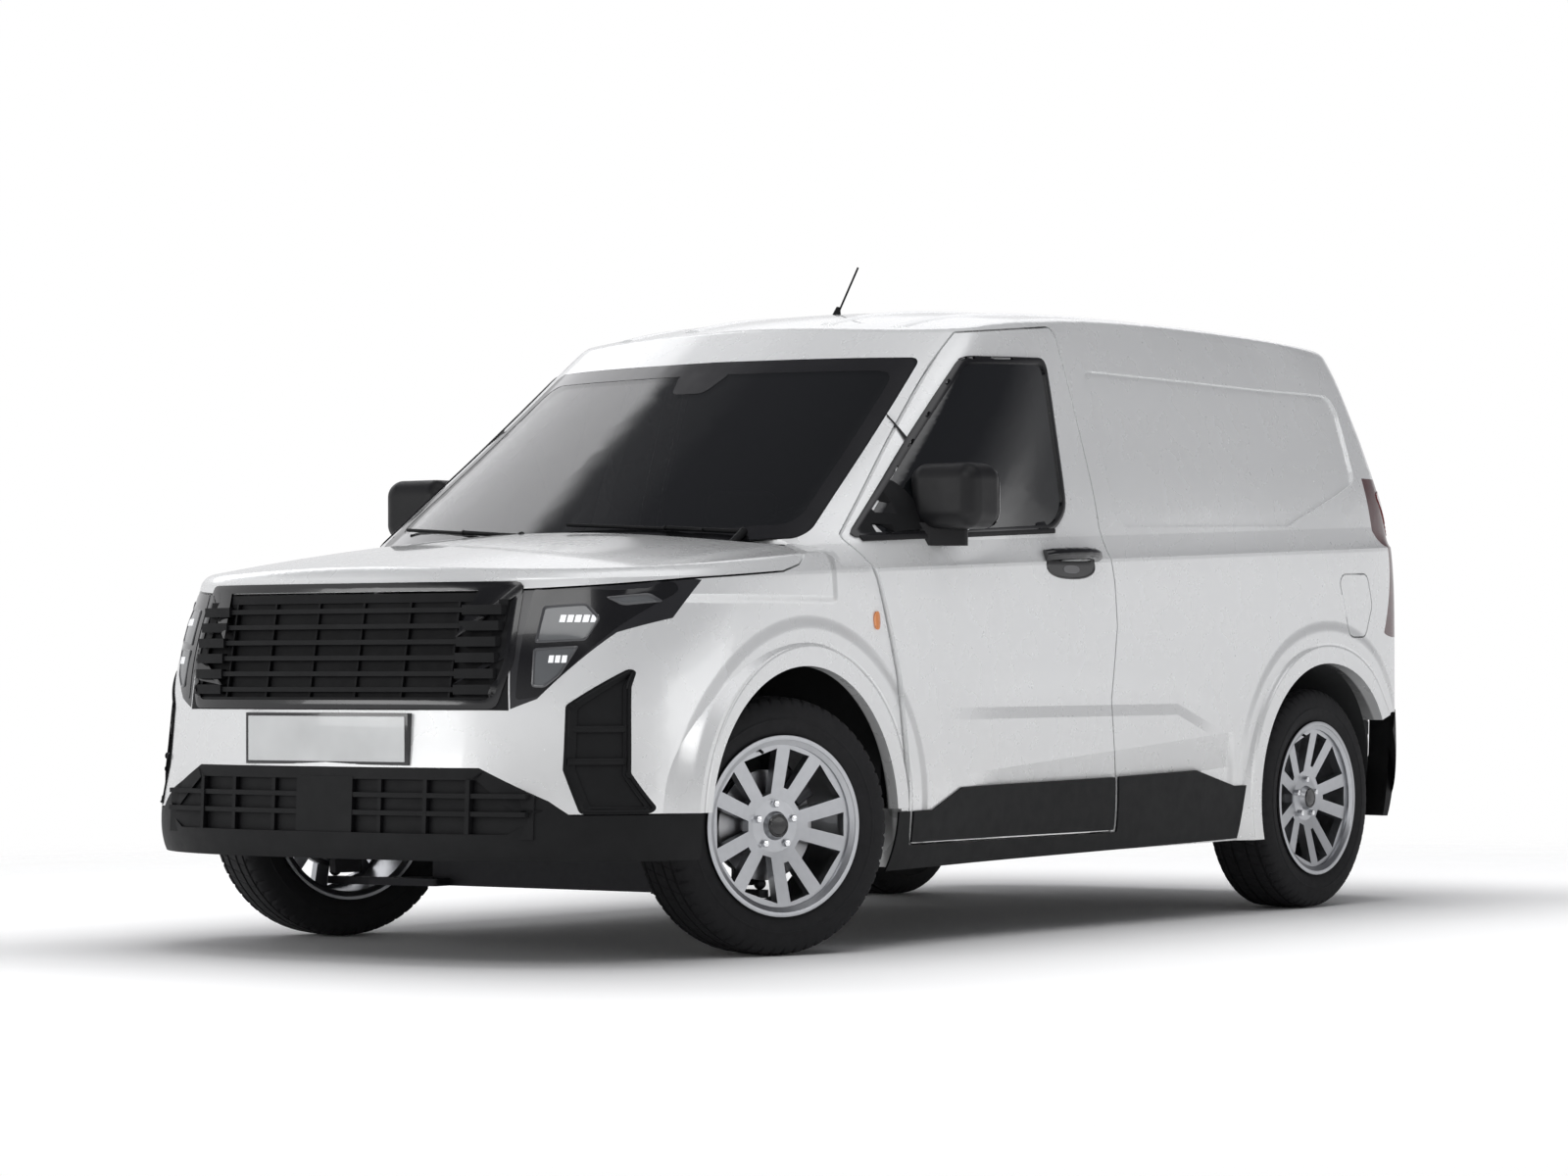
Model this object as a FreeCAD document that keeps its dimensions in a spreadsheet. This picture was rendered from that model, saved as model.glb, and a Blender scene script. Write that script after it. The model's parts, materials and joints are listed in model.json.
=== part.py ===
"""Small panel van: front towards -Y, left side towards +X, up is +Z, millimetres.

The origin is on the ground, under the middle of the van's length and width.
The painted skin is cut from two closed volumes, one for the nose and one for the cab and load space.
Each volume is lofted through level outlines with rounded ends, and capped by a crowned sheet.
"""
import FreeCAD, Part
import Sketcher
import math
import os
from FreeCAD import Vector, Placement, Rotation

doc = FreeCAD.newDocument("PanelVan")

# Driving sizes, in millimetres unless the name says otherwise
SIZES = (
    ("wheelbase", 2692),
    ("front_overhang", 870),
    ("rear_overhang", 775),
    ("roof_height", 1788),
    ("body_half_width", 888),
    ("track_half", 753),
    ("tyre_radius", 333),
    ("tyre_width", 215),
    ("rim_radius", 231),
    ("rim_wall", 8),
    ("arch_radius", 409),
    ("arch_lip", 52),
    ("arch_proud", 9),
    ("door_wall", 60),
    ("panel_wall", 22),
    ("roof_wall", 32),
    ("glass_wall", 6),
    ("trim_wall", 6),
    ("shut_gap", 5),
    ("seat_gap", 0.3),
    ("edge_round", 62),
    ("nose_round", 46),
    ("overrun", 40),
    ("floor_wall", 40),
    ("load_floor_height", 520),
    ("cab_floor_height", 330),
    ("rim_half_width", 95),
    ("rim_flange", 15),
    ("spoke_pair_count", 5),
    ("ball_joint_x", 728),
    ("ball_joint_height", 181),
    ("ball_radius", 16),
    ("strut_top_x", 600),
    ("strut_top_height", 850),
    ("strut_x", 590),
    ("strut_bend_height", 720),
    ("strut_radius", 24),
    ("spring_seat_radius", 70),
    ("upright_wall", 40),
    ("steer_rest_deg", 20.5),
    ("hub_radius", 34),
    ("disc_radius", 130),
    ("disc_wall", 22),
    ("subframe_tube", 60),
    ("axle_tube", 70),
    ("trailing_arm_x", 535),
    ("trailing_arm_pivot_height", 393),
    ("trailing_arm_length", 430),
    ("exhaust_radius", 27),
    ("silencer_radius", 85),
    ("steering_wheel_radius", 185),
    ("steering_wheel_grip", 15),
    ("column_length", 90),
    ("column_tilt_deg", 64),
    ("rear_split_gap", 12),
    ("mirror_width", 218),
    ("mirror_height", 176),
    ("mirror_depth", 160),
    ("antenna_length", 190),
    ("antenna_radius", 3),
    ("antenna_rake_deg", 36),
    ("wiper_width", 12),
    ("bulkhead_wall", 20),
    ("recess_depth", 8),
    ("flap_wall", 12),
    ("cowl_step", 55),
    ("grille_depth", 24),
    ("slat_height", 12),
    ("slat_set_back", 5),
    ("slat_count", 6),
    ("divider_width", 6),
    ("vent_depth", 12),
    ("vent_rim", 10),
    ("seat_width", 500),
    ("cushion_depth", 500),
    ("cushion_wall", 140),
    ("backrest_lean_deg", 14),
    ("roof_bolt_radius", 4),
    ("roof_bolt_depth", 16),
)
sheet = doc.addObject("Spreadsheet::Sheet", "Sizes")
for row, (alias, value) in enumerate(SIZES, start=1):
    sheet.set("A%d" % row, alias)
    sheet.set("B%d" % row, str(value))
    sheet.setAlias("B%d" % row, alias)
doc.recompute()


def size(alias):
    return float(sheet.get(alias))


wheelbase = size("wheelbase")
front_overhang = size("front_overhang")
rear_overhang = size("rear_overhang")
roof_height = size("roof_height")
half_width = size("body_half_width")
gap = size("shut_gap")
seat = size("seat_gap")
overrun = size("overrun")
length = front_overhang + wheelbase + rear_overhang
front_axle_y = front_overhang - length / 2
rear_axle_y = front_axle_y + wheelbase
FAR = length


def along(share):
    """A place along the van: 0 at the front axle, 1 at the rear axle."""
    return front_axle_y + share * wheelbase


def up(share):
    """A height, as a share of the roof height."""
    return share * roof_height


def across(share):
    """A place across the van, as a share of the half width, left positive."""
    return share * half_width


# Level outlines of the body: height, half width, and how far the level climbs from axle to axle
LOWER_LEVEL_SHARES = (
    (0.106, 0.952, 0.000),
    (0.168, 0.982, 0.000),
    (0.252, 0.997, 0.005),
    (0.336, 1.000, 0.015),
    (0.440, 0.999, 0.035),
    (0.551, 0.988, 0.056),
)
UPPER_LEVEL_SHARES = (
    (0.551, 0.988, 0.056),
    (0.604, 0.963, 0.050),
    (0.671, 0.940, 0.040),
    (0.727, 0.914, 0.030),
    (0.783, 0.886, 0.020),
    (0.839, 0.855, 0.012),
    (0.895, 0.820, 0.006),
    (0.951, 0.779, 0.000),
    (1.040, 0.705, 0.000),
)
# Front and back faces by height: reach as a share of the overhang
NOSE_SHARES = (
    (0.106, 0.900, 0.575),
    (0.168, 1.000, 0.600),
    (0.252, 0.993, 0.644),
    (0.336, 0.980, 0.690),
    (0.440, 0.962, 0.760),
    (0.551, 0.900, 0.840),
    (0.604, 0.860, 0.885),
    (0.671, 0.820, 0.920),
    (0.727, 0.780, 0.950),
)
CAB_DEPTH_SHARES = (
    (0.106, 0.104),
    (0.551, 0.104),
    (0.604, 0.148),
    (0.671, 0.145),
    (0.727, 0.139),
    (0.783, 0.128),
    (0.839, 0.113),
    (0.895, 0.095),
    (0.951, 0.082),
    (1.040, 0.074),
)
TAIL_SHARES = (
    (0.106, 0.785),
    (0.168, 0.823),
    (0.252, 0.843),
    (0.440, 0.849),
    (0.551, 0.843),
    (0.671, 0.823),
    (0.783, 0.791),
    (0.895, 0.746),
    (1.040, 0.655),
)
TAIL_DEPTH_SHARE = 0.323
SCREEN_FOOT_SHARES = (0.0297, 0.6113)
SCREEN_SLOPE_SHARE = 1.42
NOSE_BACK_SHARE = 0.46
CAP_ANGLES_DEG = (0, 15, 30, 45, 60, 75, 90)
CAP_SQUARENESS = 3.0


def table(rows, height_share, column):
    """Straight interpolation of one column of a table by height share."""
    if height_share <= rows[0][0]:
        return rows[0][column]
    for low, high in zip(rows, rows[1:]):
        if height_share <= high[0]:
            part = (height_share - low[0]) / (high[0] - low[0])
            return low[column] + part * (high[column] - low[column])
    return rows[-1][column]


def screen_y(height):
    """Where the windscreen's middle line is at a height, below its foot kept upright."""
    foot_y, foot_z = along(SCREEN_FOOT_SHARES[0]), up(SCREEN_FOOT_SHARES[1])
    lowest = up(UPPER_LEVEL_SHARES[0][0])
    return foot_y + SCREEN_SLOPE_SHARE * (max(height, lowest) - foot_z)


def knots(points):
    """Chord lengths along points, the same for every level so that the loft stays light."""
    marks = [0.0]
    for a, b in zip(points, points[1:]):
        marks.append(marks[-1] + (b - a).Length)
    return marks


loop_knots = []


def smooth_loop(points):
    if not loop_knots:
        loop_knots.extend(knots(points + points[:1]))
    curve = Part.BSplineCurve()
    curve.interpolate(Points=points, PeriodicFlag=True, Parameters=loop_knots)
    return Part.Wire(curve.toShape())


def outline(level, nose, inset, tail=None, tail_depth_share=TAIL_DEPTH_SHARE):
    """Closed smooth outline of one level, as a periodic curve, shrunk by inset."""
    height_share, width_share, rise_share = level
    reach = across(width_share) - inset
    height = up(height_share)

    def level_z(y):
        return height + up(rise_share) * (y - front_axle_y) / wheelbase

    if nose:
        front = front_axle_y - front_overhang * table(NOSE_SHARES, height_share, 1) + inset
        front_depth = front_overhang * table(NOSE_SHARES, height_share, 2)
        back = along(NOSE_BACK_SHARE) - inset
    else:
        front = along(0)
        for _ in range(3):
            front = screen_y(level_z(front))
        above = height_share > UPPER_LEVEL_SHARES[0][0]
        front = front + inset * (math.hypot(1, SCREEN_SLOPE_SHARE) if above else 1)
        front_depth = wheelbase * table(CAB_DEPTH_SHARES, height_share, 1)
        back = rear_axle_y + rear_overhang * table(tail or TAIL_SHARES, height_share, 1) - inset
    back_depth = rear_overhang * tail_depth_share
    side_front = front + front_depth
    side_back = back - back_depth
    half = []
    for angle in CAP_ANGLES_DEG[::-1]:
        turn = math.radians(angle)
        half.append((reach * math.cos(turn) ** (2 / CAP_SQUARENESS), side_back + back_depth * math.sin(turn)))
    for part in (0.8, 0.6, 0.4, 0.2):
        half.append((reach, side_front + part * (side_back - side_front)))
    for angle in CAP_ANGLES_DEG:
        turn = math.radians(angle)
        bow = front_depth * math.sin(turn)
        half.append((reach * math.cos(turn) ** (2 / CAP_SQUARENESS), side_front - bow))
    points = [Vector(x, y, level_z(y)) for x, y in half]
    points += [Vector(-x, y, level_z(y)) for x, y in half[-2:0:-1]]
    return smooth_loop(points)


def crowned_volume(stations, crown, inset):
    """Everything below a sheet that follows a centre line and drops by crown at its edges."""
    sections = []
    edge = half_width + overrun
    columns = (-1, -0.7, -0.35, 0, 0.35, 0.7, 1)
    for y, z in stations:
        top = [Vector(edge * c, y, z - inset - crown * c * c) for c in columns]
        curve = Part.BSplineCurve()
        curve.interpolate(Points=top, Parameters=columns)
        left, right = top[0], top[-1]
        floor_left, floor_right = Vector(left.x, y, 0), Vector(right.x, y, 0)
        sections.append(Part.Wire([
            curve.toShape(),
            Part.makeLine(right, floor_right),
            Part.makeLine(floor_right, floor_left),
            Part.makeLine(floor_left, left),
        ]))
    return Part.makeLoft(sections, True, False)


# Centre lines of the bonnet and the roof: place along, height
BONNET_LINE_SHARES = (
    (-0.42, 0.515),
    (-0.297, 0.553),
    (-0.149, 0.589),
    (0.000, 0.6135),
    (0.149, 0.629),
    (0.50, 0.645),
)
ROOF_LINE_SHARES = (
    (-0.15, 0.700),
    (0.15, 0.856),
    (0.297, 0.927),
    (0.409, 0.968),
    (0.539, 0.990),
    (0.743, 1.000),
    (1.003, 0.995),
    (1.263, 0.970),
    (1.45, 0.940),
)
BONNET_CROWN_SHARE = 0.045
ROOF_CROWN_SHARE = 0.048


def body_volume(nose, inset, rounding):
    """The nose or the cab and load space as one solid, shrunk by inset, its top edge rounded."""
    loop_knots.clear()
    lower = [outline(level, nose, inset) for level in LOWER_LEVEL_SHARES]
    top_levels = UPPER_LEVEL_SHARES[:4] if nose else UPPER_LEVEL_SHARES
    upper = [outline(level, nose, inset) for level in top_levels]
    stack = Part.makeLoft(lower, True, False).fuse(Part.makeLoft(upper, True, False))
    line = BONNET_LINE_SHARES if nose else ROOF_LINE_SHARES
    crown = up(BONNET_CROWN_SHARE if nose else ROOF_CROWN_SHARE)
    sheet_below = crowned_volume([(along(s), up(z)) for s, z in line], crown, inset)
    volume = stack.common(sheet_below)
    if rounding:
        edges = [e for e in volume.Edges if is_top_edge(e, sheet_below)]
        volume = volume.makeFillet(rounding, edges)
    return volume


def is_top_edge(edge, sheet_below):
    middle = edge.valueAt((edge.FirstParameter + edge.LastParameter) / 2)
    vertex = Part.Vertex(middle)
    top = max(sheet_below.Faces, key=lambda face: face.CenterOfMass.z)
    return vertex.distToShape(top)[0] < seat and edge.Length > overrun


# Shapes cut out of the volumes

def rounded_wire(points, radius):
    """Closed wire through points, with every corner rounded by radius where the sides allow it."""
    count = len(points)
    edges = []
    ends = []
    for i, point in enumerate(points):
        before = points[i - 1] - point
        after = points[(i + 1) % count] - point
        turn = math.pi - before.getAngle(after)
        if radius <= 0 or turn < math.radians(4):
            ends.append((point, point, None))
            continue
        back = min(radius * math.tan(turn / 2), 0.45 * before.Length, 0.45 * after.Length)
        reach = back / math.tan(turn / 2)
        a = point + before.normalize() * back
        b = point + after.normalize() * back
        towards = (before + after).normalize()
        middle = point + towards * (math.hypot(back, reach) - reach)
        ends.append((a, b, Part.Arc(a, middle, b).toShape()))
    for i in range(count):
        if ends[i][2]:
            edges.append(ends[i][2])
        start, stop = ends[i][1], ends[(i + 1) % count][0]
        edges.append(Part.makeLine(start, stop))
    return Part.Wire(edges)


def side_prism(yz, x_low, x_high, radius=0, grow=0):
    """Outline in the side view, pushed across the van from x_low to x_high, grown by grow."""
    wire = rounded_wire([Vector(x_low, y, z) for y, z in yz], radius)
    if grow:
        wire = wire.makeOffset2D(grow)
    return Part.Face(wire).extrude(Vector(x_high - x_low, 0, 0))


def front_prism(xz, y_low, y_high, radius=0, grow=0):
    """Outline in the front view, pushed along the van from y_low to y_high, grown by grow."""
    wire = rounded_wire([Vector(x, y_low, z) for x, z in xz], radius)
    if grow:
        wire = wire.makeOffset2D(grow)
    return Part.Face(wire).extrude(Vector(0, y_high - y_low, 0))


def top_prism(xy, z_low, z_high, radius=0):
    """Outline in plan, pushed up from z_low to z_high."""
    wire = rounded_wire([Vector(x, y, z_low) for x, y in xy], radius)
    return Part.Face(wire).extrude(Vector(0, 0, z_high - z_low))


def placed(table_of_shares):
    """Side-view points in millimetres from shares of the wheelbase and the roof height."""
    return [(along(s), up(z)) for s, z in table_of_shares]


def fronted(table_of_shares):
    """Front-view points in millimetres from shares of the half width and the roof height."""
    return [(across(s), up(z)) for s, z in table_of_shares]


def mirrored(shape):
    return shape.mirror(Vector(0, 0, 0), Vector(1, 0, 0))


def solid_of(shape):
    """The shape's one largest solid; slivers left by a cut are dropped."""
    shape = shape.removeSplitter() if len(shape.Faces) < 400 else shape
    return max(shape.Solids, key=lambda s: s.Volume)


def block(x0, x1, y0, y1, z0, z1):
    return Part.makeBox(x1 - x0, y1 - y0, z1 - z0, Vector(x0, y0, z0))


def rod(start, end, radius):
    line = end - start
    return Part.makeCylinder(radius, line.Length, start, line)


def wheel_cylinder(y, radius, x_low, x_high):
    return Part.makeCylinder(radius, x_high - x_low, Vector(x_low, y, size("tyre_radius")), Vector(1, 0, 0))


# Named outlines, as shares of the wheelbase and the roof height in side view
DOOR_SHARES = (
    (0.167, 0.152),
    (0.160, 0.280),
    (0.147, 0.400),
    (0.133, 0.470),
    (0.118, 0.543),
    (0.104, 0.585),
    (0.100, 0.603),
    (0.374, 0.929),
    (0.541, 0.951),
    (0.5395, 0.780),
    (0.5385, 0.629),
    (0.547, 0.588),
    (0.552, 0.545),
    (0.554, 0.474),
    (0.541, 0.358),
    (0.557, 0.152),
)
SIDE_WINDOW_SHARES = (
    (0.118, 0.607),
    (0.452, 0.626),
    (0.478, 0.657),
    (0.4995, 0.895),
    (0.3600, 0.887),
)
BARREL_SHARE = 0.52
BARREL_END_SHARES = (0.32, 0.68)
BONNET_END_SHARE = 0.036
BONNET_SIDE_SHARES = (
    (-0.40, 0.5215),
    (-0.28, 0.5215),
    (-0.148, 0.5400),
    (-0.035, 0.5515),
    (-0.008, 0.5620),
    (0.010, 0.5780),
    (0.074, 0.6040),
    (0.090, 0.6400),
    (0.090, 0.8000),
    (-0.40, 0.8000),
)
WING_SHARES = (
    (-0.148, 0.535),
    (-0.166, 0.498),
    (-0.118, 0.4385),
    (-0.0925, 0.390),
    (-0.04, 0.30),
    (-0.04, 0.2045),
    (0.35, 0.2045),
    (0.35, 0.70),
    (-0.148, 0.70),
)
BUMPER_SHARES = (
    (-0.45, 0.212),
    (-0.12, 0.212),
    (-0.04, 0.30),
    (-0.0925, 0.390),
    (-0.118, 0.4385),
    (-0.166, 0.498),
    (-0.148, 0.535),
    (-0.45, 0.535),
)
SIDE_SHARES = (
    (0.060, 0.560),
    (0.35, 0.560),
    (0.35, 0.2045),
    (0.150, 0.2045),
    (0.150, 0.118),
    (0.860, 0.124),
    (0.860, 0.20),
    (1.155, 0.330),
    (1.40, 0.330),
    (1.40, 1.10),
    (0.060, 1.10),
)
SLIDING_DOOR_SHARES = (
    (0.575, 0.160),
    (0.572, 0.925),
    (0.830, 0.925),
    (0.848, 0.480),
    (0.822, 0.350),
    (0.805, 0.160),
)
RECESS_SHARES = (
    (0.574, 0.886),
    (1.108, 0.878),
    (1.099, 0.728),
    (0.938, 0.646),
    (0.573, 0.633),
)
FUEL_FLAP_SHARES = (
    (1.024, 0.565),
    (1.0875, 0.567),
    (1.097, 0.514),
    (1.079, 0.461),
    (1.045, 0.461),
)
DOOR_CLADDING_SHARES = (
    (0.1705, 0.1535),
    (0.1690, 0.2000),
    (0.2047, 0.2005),
    (0.2590, 0.2320),
    (0.5480, 0.2370),
    (0.5535, 0.1535),
)
SILL_CLADDING_SHARES = (
    (0.1300, 0.1130),
    (0.1240, 0.2000),
    (0.1650, 0.2000),
    (0.1665, 0.1500),
    (0.5600, 0.1500),
    (0.5545, 0.2375),
    (0.7140, 0.2425),
    (0.7980, 0.2145),
    (0.8400, 0.2145),
    (0.8250, 0.1450),
    (0.8250, 0.1270),
)
# Front-view outlines, as shares of the half width and the roof height
SCREEN_SHARES = (
    (0.825, 0.602),
    (0.712, 0.889),
    (0.000, 0.893),
    (-0.712, 0.889),
    (-0.825, 0.602),
    (-0.400, 0.592),
    (0.400, 0.592),
)
GRILLE_SHARES = (
    (0.575, 0.5215),
    (0.600, 0.355),
    (0.545, 0.3555),
    (-0.545, 0.3555),
    (-0.600, 0.355),
    (-0.575, 0.5215),
)
LAMP_SHARES = (
    (0.579, 0.5215),
    (0.604, 0.357),
    (0.671, 0.371),
    (0.738, 0.4115),
    (0.820, 0.463),
    (0.905, 0.483),
    (0.925, 0.5365),
    (0.900, 0.5395),
)
INTAKE_SHARES = (
    (0.500, 0.2755),
    (0.525, 0.2755),
    (0.717, 0.2300),
    (0.770, 0.2100),
    (1.200, 0.2100),
    (1.200, 0.1460),
    (-1.200, 0.1460),
    (-1.200, 0.2100),
    (-0.770, 0.2100),
    (-0.717, 0.2300),
    (-0.525, 0.2755),
    (-0.500, 0.2755),
)
VENT_SHARES = (
    (0.873, 0.4195),
    (0.739, 0.362),
    (0.743, 0.273),
    (0.790, 0.2120),
    (0.937, 0.2115),
    (0.881, 0.268),
    (0.866, 0.387),
)
REAR_DOORS_SHARES = (
    (0.800, 0.240),
    (0.815, 0.560),
    (0.690, 0.925),
    (-0.690, 0.925),
    (-0.815, 0.560),
    (-0.800, 0.240),
)
TAIL_LAMP_SHARES = (
    (0.870, 0.460),
    (1.010, 0.460),
    (0.965, 0.735),
    (0.800, 0.735),
    (0.838, 0.560),
)
# What a front door takes of the front view, outboard of the roof rail and the screen pillar
DOOR_REACH_SHARES = (
    (0.800, 0.050),
    (0.800, 0.600),
    (0.735, 0.960),
    (1.500, 0.960),
    (1.500, 0.050),
)
WING_INNER_SHARE = 0.62
HEADER_SHARES = (
    (0.712, 0.889),
    (0.712, 1.200),
    (-0.712, 1.200),
    (-0.712, 0.889),
    (0.000, 0.893),
)
GRILLE_WINDOW_SHARES = (
    (0.520, 0.5060),
    (0.548, 0.3730),
    (-0.548, 0.3730),
    (-0.520, 0.5060),
)
SLAT_TIP_SHARE = 0.44
DIVIDER_SHARES = (0.085, 0.255, 0.420)
INTAKE_WINDOW_SHARES = (
    (0.519, 0.2590),
    (0.673, 0.2000),
    (0.615, 0.1840),
    (-0.615, 0.1840),
    (-0.673, 0.2000),
    (-0.519, 0.2590),
)
INTAKE_SLAT_SHARES = (0.2120, 0.2370)
INTAKE_POST_SHARES = (0.20, 0.36, 0.50)
SENSOR_SHARE = 0.105
BUMPER_DEPTH_SHARE = 0.540
REAR_BUMPER_SHARES = (
    (0.106, 0.930),
    (0.168, 0.985),
    (0.252, 1.000),
    (0.336, 0.985),
    (0.440, 0.950),
)
REAR_BUMPER_SIDE_SHARES = (
    (1.128, 0.150),
    (1.110, 0.330),
    (1.165, 0.334),
    (1.225, 0.334),
    (1.225, 0.236),
    (1.400, 0.236),
    (1.400, 0.140),
)
COWL_SHARES = (0.800, 0.545, 0.592)
WHEEL_HOUSE_SHARE = 0.500
REAR_HOUSE_SHARE = 0.675
BULKHEAD_SHARE = 0.580
LOAD_FLOOR_END_SHARE = 1.215
FIREWALL_SHARE = 0.085
RAIL_SHARES = (0.48, 0.235, 0.290, 0.450)
RADIATOR_SHARE = 0.76
DASH_SHARES = (
    (0.140, 0.380),
    (0.140, 0.549),
    (0.030, 0.549),
    (0.030, 0.590),
    (0.190, 0.592),
    (0.235, 0.560),
    (0.245, 0.500),
    (0.205, 0.420),
    (0.190, 0.380),
)
DASH_WIDTH_SHARE = 0.795
SEAT_FRONT_SHARE = 0.300
CUSHION_TOP_SHARE = 0.395
BACKREST_SHARE = 0.370
DRIVER_SHARE = 0.420
STEERING_WHEEL_SHARES = (0.285, 0.560)
MIRROR_SHARES = (0.9145, 0.202, 0.618)
MIRROR_ROOT_SHARE = 0.88
MIRROR_FOOT_SHARES = (0.150, 0.222)
ANTENNA_SHARES = (0.512, 0.982)
WIPER_HEIGHT_SHARES = (0.612, 0.628)
WIPER_LEFT_SHARES = (0.66, 0.40, 0.02)
WIPER_RIGHT_SHARES = (-0.12, -0.38, -0.70)
# Stations where volumes and cuts start and end
FLANK_SHARE = 0.45
DOOR_END_SHARE = 0.7
SCUTTLE_FRONT_SHARE = -0.1
CAB_END_SHARE = 0.5
TAIL_START_SHARE = 1.12
TAIL_END_SHARE = 1.45
FLANK_START_SHARE = 0.01
ROOF_START_SHARE = 0.2
EAVES_SHARE = 0.85
SCUTTLE_END_SHARE = 0.3
SCUTTLE_HEIGHT_SHARE = 0.53
NOSE_END_SHARE = -0.12
INTAKE_END_SHARE = 0.1
APRON_END_SHARE = -0.06
AFT_SHARE = 1.0
ROOM_START_SHARE = 0.02
MAST_HEIGHT_SHARE = 0.8
ENGINE_SHARES = (-0.215, -0.025)
ENGINE_HEIGHT_SHARES = (0.175, 0.470)
TANK_SHARES = (0.10, 0.66, 0.610, 0.820, 0.150)
EXHAUST_SHARES = (0.0, 0.34)
EXHAUST_RUN_SHARES = (0.10, 1.020, 1.225)
ROOF_BOLT_SHARES = (0.60, 0.580, 1.060)
ARCH_SHIFT_SHARE = -0.008
REAR_SPLIT_SHARE = -0.14
FLOOR_CORNER_SHARES = (0.735, 1.178)
ROOF_EDGE_SHARE = 0.690
HEADER_SHARE = 0.27
CORNER = size("shut_gap") * 6
door_end_y = along(DOOR_END_SHARE)
scuttle_y = along(SCUTTLE_FRONT_SHARE)
cab_end_y = along(CAB_END_SHARE)
tail_start_y = along(TAIL_START_SHARE)
tail_end_y = along(TAIL_END_SHARE)
flank_start_y = along(FLANK_START_SHARE)
roof_start_y = along(ROOF_START_SHARE)
eaves_z = up(EAVES_SHARE)
scuttle_end_y = along(SCUTTLE_END_SHARE)
scuttle_z = up(SCUTTLE_HEIGHT_SHARE)
nose_end_y = along(NOSE_END_SHARE)
intake_end_y = along(INTAKE_END_SHARE)
apron_end_y = along(APRON_END_SHARE)
aft_y = along(AFT_SHARE)
room_start_y = along(ROOM_START_SHARE)
mast_z = up(MAST_HEIGHT_SHARE)

# The skin volumes, each trimmed to the stretch that its panels need
nose_outer = body_volume(True, 0, size("nose_round"))
nose_inner = body_volume(True, size("panel_wall"), 0)
cab_outer = body_volume(False, 0, size("edge_round"))
cab_inner = body_volume(False, size("door_wall"), 0)
cab_roof_inner = body_volume(False, size("roof_wall"), 0)
cab_glass_inner = body_volume(False, size("glass_wall"), 0)
cab_room = body_volume(False, size("door_wall") + seat, 0)

arch_radius = size("arch_radius")
tyre_radius = size("tyre_radius")
arch_y = front_axle_y + along(ARCH_SHIFT_SHARE) - along(0)
TOP = 2 * roof_height
WIDE = 2 * half_width
flank_x = across(FLANK_SHARE)
front_arch = wheel_cylinder(arch_y, arch_radius, flank_x, WIDE)
rear_arch = wheel_cylinder(rear_axle_y, arch_radius, flank_x, WIDE)
door_points = placed(DOOR_SHARES)
door_reach = fronted(DOOR_REACH_SHARES)
door_prism = side_prism(door_points, 0, WIDE, CORNER).common(front_prism(door_reach, along(0), door_end_y))
door_opening = side_prism(door_points, 0, WIDE, CORNER, gap)
door_opening = door_opening.common(front_prism(door_reach, along(0), door_end_y, 0, gap))
screen_prism = front_prism(fronted(SCREEN_SHARES), scuttle_y, cab_end_y, CORNER, -seat)
screen_opening = front_prism(fronted(SCREEN_SHARES), scuttle_y, cab_end_y, CORNER)
rear_prism = front_prism(fronted(REAR_DOORS_SHARES), tail_start_y, tail_end_y, CORNER)
rear_opening = front_prism(fronted(REAR_DOORS_SHARES), tail_start_y, tail_end_y, CORNER, gap)

parts = {}


def add(name, shape):
    """Keep one sub-part under the name that its file gets."""
    item = doc.addObject("Part::Feature", name)
    item.Label = name
    item.Shape = shape
    parts[name] = item
    return item


def arch_flare(y, inner_volume, grow=0):
    """Raised rim round a wheel arch on the left side, as a flat-faced cone, grown by grow."""
    outer = half_width + size("arch_proud") + grow
    lip = arch_radius + size("arch_lip") + grow
    cone = Part.makeCone(lip + 2 * overrun, lip, 2 * overrun, Vector(outer - 2 * overrun, y, tyre_radius),
                         Vector(1, 0, 0))
    return cone.cut(inner_volume).cut(wheel_cylinder(y, arch_radius, outer - 3 * overrun, outer + overrun))


# Left flank of the cab and load space, then its mirror image
left_side = block(0, WIDE, -FAR, FAR, 0, TOP)
flank_zone = block(flank_x, WIDE, flank_start_y, FAR, 0, TOP)
flank_outer = cab_outer.common(flank_zone)
flank_inner = cab_inner.common(flank_zone)
flank = flank_outer.cut(flank_inner)
roof_edge = across(ROOF_EDGE_SHARE)
header_prism = front_prism(fronted(HEADER_SHARES), along(0), cab_end_y)
recess_depth = size("recess_depth")


def door_side():
    """Front door without its glass: the whole wall inside the shut line, window and cladding cut."""
    door = flank.common(door_prism)
    window = side_prism(placed(SIDE_WINDOW_SHARES), 0, WIDE, CORNER)
    return solid_of(door.cut(window))


def door_glass():
    pane = side_prism(placed(SIDE_WINDOW_SHARES), 0, WIDE, CORNER, -seat)
    return solid_of(flank_outer.common(pane).cut(cab_glass_inner))


def recess_cut(points):
    """Shallow pressed field in the flank, as the skin between two depths."""
    prism = side_prism(points, flank_x, WIDE, 2 * CORNER)
    return flank_outer.common(prism).cut(flank_outer.common(prism).translated(Vector(-recess_depth, 0, 0)))


def body_side():
    zone = side_prism(placed(SIDE_SHARES), 0, WIDE)
    side = flank.common(zone)
    side = side.fuse(arch_flare(rear_axle_y, flank_inner).common(zone))
    side = side.cut(rear_arch).cut(door_opening).cut(rear_opening).cut(screen_opening)
    side = side.cut(block(0, roof_edge + seat, roof_start_y, FAR, eaves_z, TOP)).cut(header_prism)
    return side


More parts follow.
